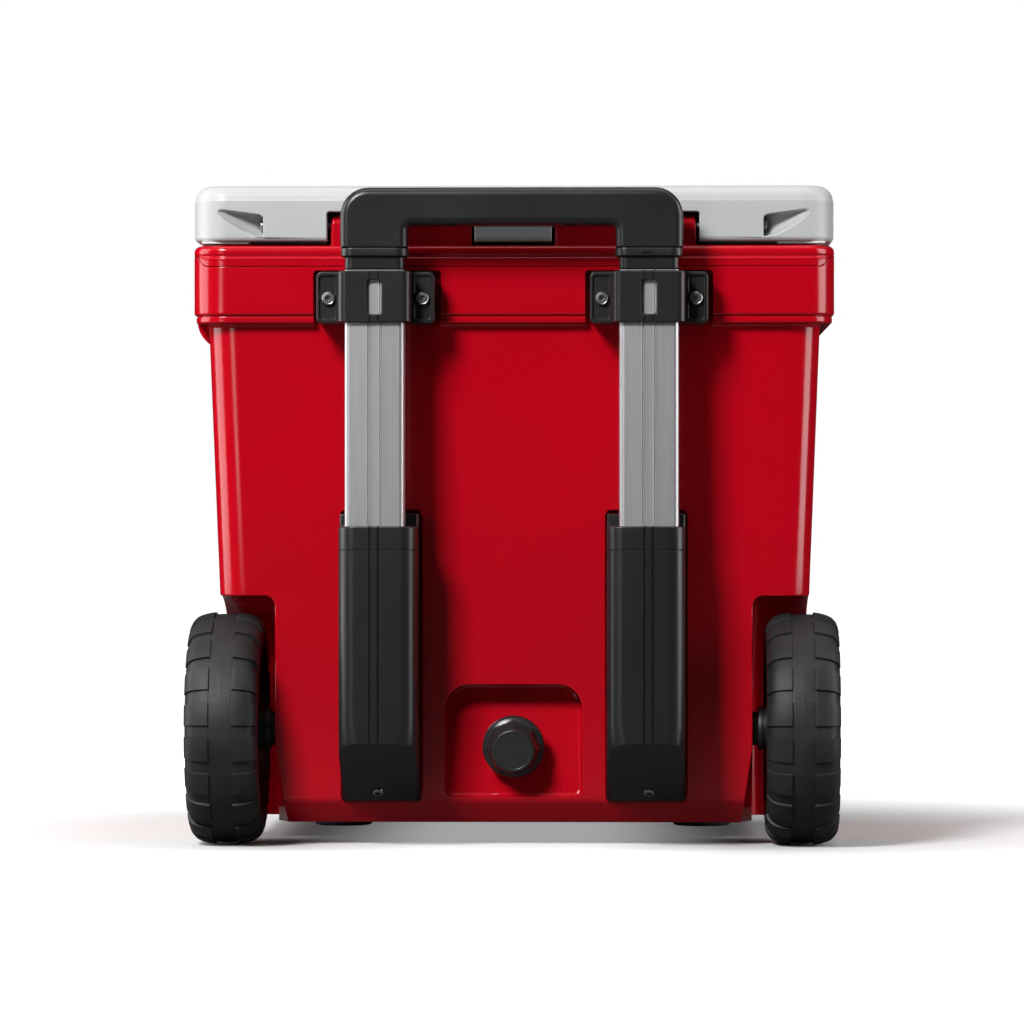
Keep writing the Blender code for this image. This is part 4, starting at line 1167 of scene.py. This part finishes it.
for sign in (-1, 1):
    carve(grip, round_bar("rod bore", "Z", (sign * TUBE_X, TUBE_Y, 0), 0.004, 0.46, 0.493))
finish_piece(grip, black_plastic, "handle_upper")

profile = (
    (0.0, 0.5034), (0.0, 0.5118), (0.0004, 0.5125), (0.0012, 0.5129), (0.003, 0.5129),
    (0.004, 0.5125), (0.0052, 0.5125),
)
button = levels("release_button.visual", "Z", profile, lambda inset: rounded(
    -0.0183 + inset, 0.0183 - inset, TUBE_Y - 0.0086 + inset, TUBE_Y + 0.0086 - inset,
    max(0.0004, 0.0026 - inset * 0.4), 5,
))
finish_piece(button, black_plastic, "release")
dress(inner_black, "release_yoke")
dress(steel, "release_rod_left", "release_rod_right")
spring = copied("button_spring")
finish_piece(spring, steel, "handle_upper")
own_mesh(spring)


# Lid. A light grey hollow moulding, filled with foam and closed below by a white liner plate.
# Its back edge is cut away for the hinge towers, which leaves a knuckle between them and a
# block at each end. A tapered recess in each end gives a way in to the hinge pin.
LID_HALF, LID_BACK, LID_FRONT = 0.251, -0.186, 0.2215
LID_LOW, LID_TOP = 0.4735, 0.519
LATCH_X, LATCH_AXIS, LATCH_BORE = 0.165, (0.2245, 0.5), 0.0023
LATCH_ROOM, LATCH_PIN_HALF = 0.0215, 0.0255

grey_plastic = moulded_plastic(
    "light grey moulded plastic", (0.5, 0.506, 0.512), (0.38, 0.46), 700.0, 0.00003, 0.25
)


def lid_line(inset):
    return rounded(
        inset - LID_HALF, LID_HALF - inset, LID_BACK + inset, LID_FRONT - inset, 0.027 - inset, 12
    )


profile = [(inset, LID_LOW + rise) for inset, rise in edge_round(0.004, 5)]
profile += [(0.0, 0.5052), (0.0002, 0.506), (0.0006, 0.5066)]
for k in range(1, 10):
    angle = math.radians(10 * k)
    profile.append((0.0006 + 0.012 * (1 - math.cos(angle)), 0.5066 + 0.011 * math.sin(angle)))
profile += [(0.024, 0.5181), (0.0246, 0.5178), (0.0254, 0.5178), (0.026, 0.5182)]
lid_rings = [stood(lid_line(inset), "Z", z) for inset, z in profile]
crown = rounded(-0.17, 0.17, -0.105, 0.14, 0.006, 12)
lid_rings.append(stood(crown, "Z", LID_TOP))
lid = skin("lid_shell.visual", lid_rings)


def pin_recess(sign):
    """A scoop, deepest at the pin's end, that runs out to nothing below and at its far end."""
    near, far = 0.1957, 0.2335
    rings = []
    steps = 12
    for k in range(steps + 1):
        share = k / steps
        x = near + (far - near) * share
        low = 0.477 + 0.02 * share ** 1.6
        high = 0.4942 + 0.005 * share - (0.0014 if k == 0 else 0)
        floor = -0.1655 - 0.02 * share ** 0.8
        ring = [(sign * x, -0.2, low), (sign * x, -0.1862, low)]
        for j in range(7):
            angle = math.radians(15 * j)
            y = floor - (floor + 0.1862) * (1 - math.sin(angle))
            z = low + (high - 0.0016 - low) * 0.8 * (1 - math.cos(angle))
            ring.append((sign * x, y, z + 0.00001 * j))
        ring += [(sign * x, floor, high - 0.0016), (sign * x, floor - 0.0016, high)]
        ring.append((sign * x, -0.2, high))
        rings.append(ring)
    return skin("pin recess", rings)


for sign in (-1, 1):
    low, high = span(sign, TOWER_X[0] - 0.0015, TOWER_X[1] + 0.0017)
    slot = block("slot", (low, -0.2, 0.46), (high, -0.1495, 0.4968))
    soften(slot, 0.002, ("Z", 0.4967, 0.4969), segments=4)
    latch_low, latch_high = sign * LATCH_X - LATCH_ROOM, sign * LATCH_X + LATCH_ROOM
    latch_room = block("latch room", (latch_low, 0.215, 0.46), (latch_high, 0.24, 0.508))
    soften(latch_room, 0.0025, ("Z", 0.5079, 0.5081), segments=4)
    carve(lid, slot, pin_recess(sign), latch_room)
soften(lid, 0.0011, ("Y", -0.1875, -0.16), ("Z", 0.4745, 0.499), angle=45)
soften(lid, 0.0009, ("Y", 0.2155, 1), ("Z", 0.4745, 0.51), angle=45)


def lid_room(grow):
    """The hollow inside the lid, which follows its round edge."""
    profile = ((0, 0.46), (0, 0.505), (0.0012, 0.509), (0.005, 0.5125), (0.011, 0.5148))
    profile = [(inset + grow, z - grow) for inset, z in profile]
    return levels("room", "Z", profile, lambda inset: rounded(
        inset - 0.248, 0.248 - inset, inset - 0.146, 0.2185 - inset, 0.022 - inset, 8
    ))


carve(lid, lid_room(0))
for sign in (-1, 1):
    bore = span(sign, 0.0115, 0.2)
    carve(lid, round_bar("pin bore", "X", (0, HINGE_Y, HINGE_Z), HINGE_BORE, *bore))
    ends = (sign * LATCH_X - LATCH_PIN_HALF, sign * LATCH_X + LATCH_PIN_HALF)
    carve(lid, round_bar("latch bore", "X", (0, *LATCH_AXIS), LATCH_BORE, *ends))
finish_piece(lid, grey_plastic, "lid")
dress(steel, "hinge_pin_left", "hinge_pin_right", "latch_pin_left", "latch_pin_right")
lid_core = joined(copied("lid_foam"), [lid_room(0.0003)], "INTERSECT")
finish_piece(lid_core, foam, "lid", smooth=0)
for side, sign in SIDES:
    cap_line = [
        (0.0006, 0.1962), (0.0046, 0.1962), (0.0048, 0.1965), (0.0048, 0.1978), (0.0044, 0.1984),
        (0.0034, 0.1987), (0.002, 0.1988), (0.0006, 0.1988),
    ]
    cap_turned = [(r, sign * u) for r, u in cap_line]
    pin_cap = turned("pin_cap_" + side, cap_turned, "X", (0, HINGE_Y, HINGE_Z), 40)
    finish_piece(pin_cap, steel, "lid")
    for name, ends, paint, slot in (
        ("rear_seal_", (0.1462, 0.2034), soft_rubber, "soft_rubber"),
        ("rear_lip_", (0.2062, 0.244), white_plastic, "liner_white"),
    ):
        line = rounded(*span(sign, *ends), -0.1815, -0.15, 0.0015, 4)
        strip = extruded(name + side, line, "Z", 0.4721, 0.4738)
        soften(strip, 0.0004, ("Z", 0.472, 0.4722), segments=2)
        finish_piece(strip, paint, "lid")

plate_line = rounded(-0.2476, 0.2476, -0.1455, 0.2145, 0.022)
plate = extruded("lid_liner.visual", plate_line, "Z", LID_LOW, 0.4765)
soften(plate, 0.001, ("Z", LID_LOW - 0.001, LID_LOW + 0.001))
profile = [(inset, 0.458 + rise) for inset, rise in edge_round(0.006, 5)] + [(0, 0.475)]
plug = levels("plug", "Z", profile, lambda inset: rounded(
    inset - 0.196, 0.196 - inset, inset - 0.135, 0.178 - inset, 0.016 - inset
))
fuse(plate, plug)
hollow_line = rounded(-0.1925, 0.1925, -0.1315, 0.1745, 0.012)
carve(plate, extruded("hollow", hollow_line, "Z", 0.4615, 0.49))
for sign in (-1, 1):
    low, high = sign * LATCH_X - LATCH_PIN_HALF, sign * LATCH_X + LATCH_PIN_HALF
    carve(plate, block("latch room", (low, 0.2115, 0.46), (high, 0.24, 0.49)))
finish_piece(plate, white_plastic, "lid")

gasket_outer = rounded(-0.2115, 0.2115, -0.1482, 0.193, 0.019)
gasket_inner = rounded(-0.2055, 0.2055, -0.1422, 0.187, 0.013)
gasket_rings = []
for u, z in (
    (0.0, 0.4731), (0.0, 0.4706), (0.14, 0.47), (0.14, 0.4694), (0.0, 0.4688),
    (0.0, 0.4668), (0.08, 0.4658), (0.25, 0.4652), (0.5, 0.465), (0.75, 0.4652),
    (0.92, 0.4658), (1.0, 0.4668), (1.0, 0.4731),
):
    ring = []
    for (ax, ay), (bx, by) in zip(gasket_outer, gasket_inner):
        ring.append((ax + (bx - ax) * u, ay + (by - ay) * u, z))
    gasket_rings.append(ring)
gasket = skin("lid_gasket.visual", gasket_rings, looped=True)
finish_piece(gasket, soft_rubber, "lid")


# Latches. Two black levers hang from steel pins in the lid's front edge and hook under the rim.
# Each has a ribbed back, round edges and a turned-out lip for the fingers.
LATCH_HALF = 0.02
for side, sign in SIDES:
    x = sign * LATCH_X
    latch_line = [
        (0.223, 0.474), (0.224, 0.418), (0.233, 0.406), (0.2348, 0.4058), (0.2366, 0.4068),
        (0.237, 0.4085), (0.2358, 0.418), (0.236, 0.43), (0.237, 0.45), (0.237, 0.493),
        (0.2362, 0.4968), (0.2343, 0.5002), (0.2318, 0.5032), (0.2288, 0.5055), (0.225, 0.5068),
        (0.2212, 0.506), (0.2188, 0.5034), (0.2176, 0.499), (0.2175, 0.494), (0.2195, 0.478),
    ]
    latch = extruded(f"latch_{side}.visual", latch_line, "X", x - LATCH_HALF, x + LATCH_HALF)
    for end in (x - LATCH_HALF, x + LATCH_HALF):
        soften(latch, 0.0016, ("X", end - 0.0001, end + 0.0001), segments=4)
    panel = levels(
        "panel", "Y", ((0.0014, 0.2354), (0.0005, 0.2356), (0.0, 0.2362), (-0.0004, 0.239)),
        lambda inset: rounded(
            0.433 + inset, 0.49 - inset, x - 0.0145 + inset, x + 0.0145 - inset, 0.003, 5
        ),
    )
    carve(latch, panel)
    for number in range(5):
        z = 0.442 + 0.0095 * number
        rib_line = rounded(z - 0.0012, z + 0.0012, x - 0.012, x + 0.012, 0.0011, 4)
        rib = extruded("rib", rib_line, "Y", 0.234, 0.2365)
        fuse(latch, soften(rib, 0.0005, ("Y", 0.2364, 0.2366), segments=2))
    carve(latch, round_bar("pin bore", "X", (0, *LATCH_AXIS), LATCH_BORE, x - 0.03, x + 0.03))
    finish_piece(latch, black_plastic, "latch_" + side)
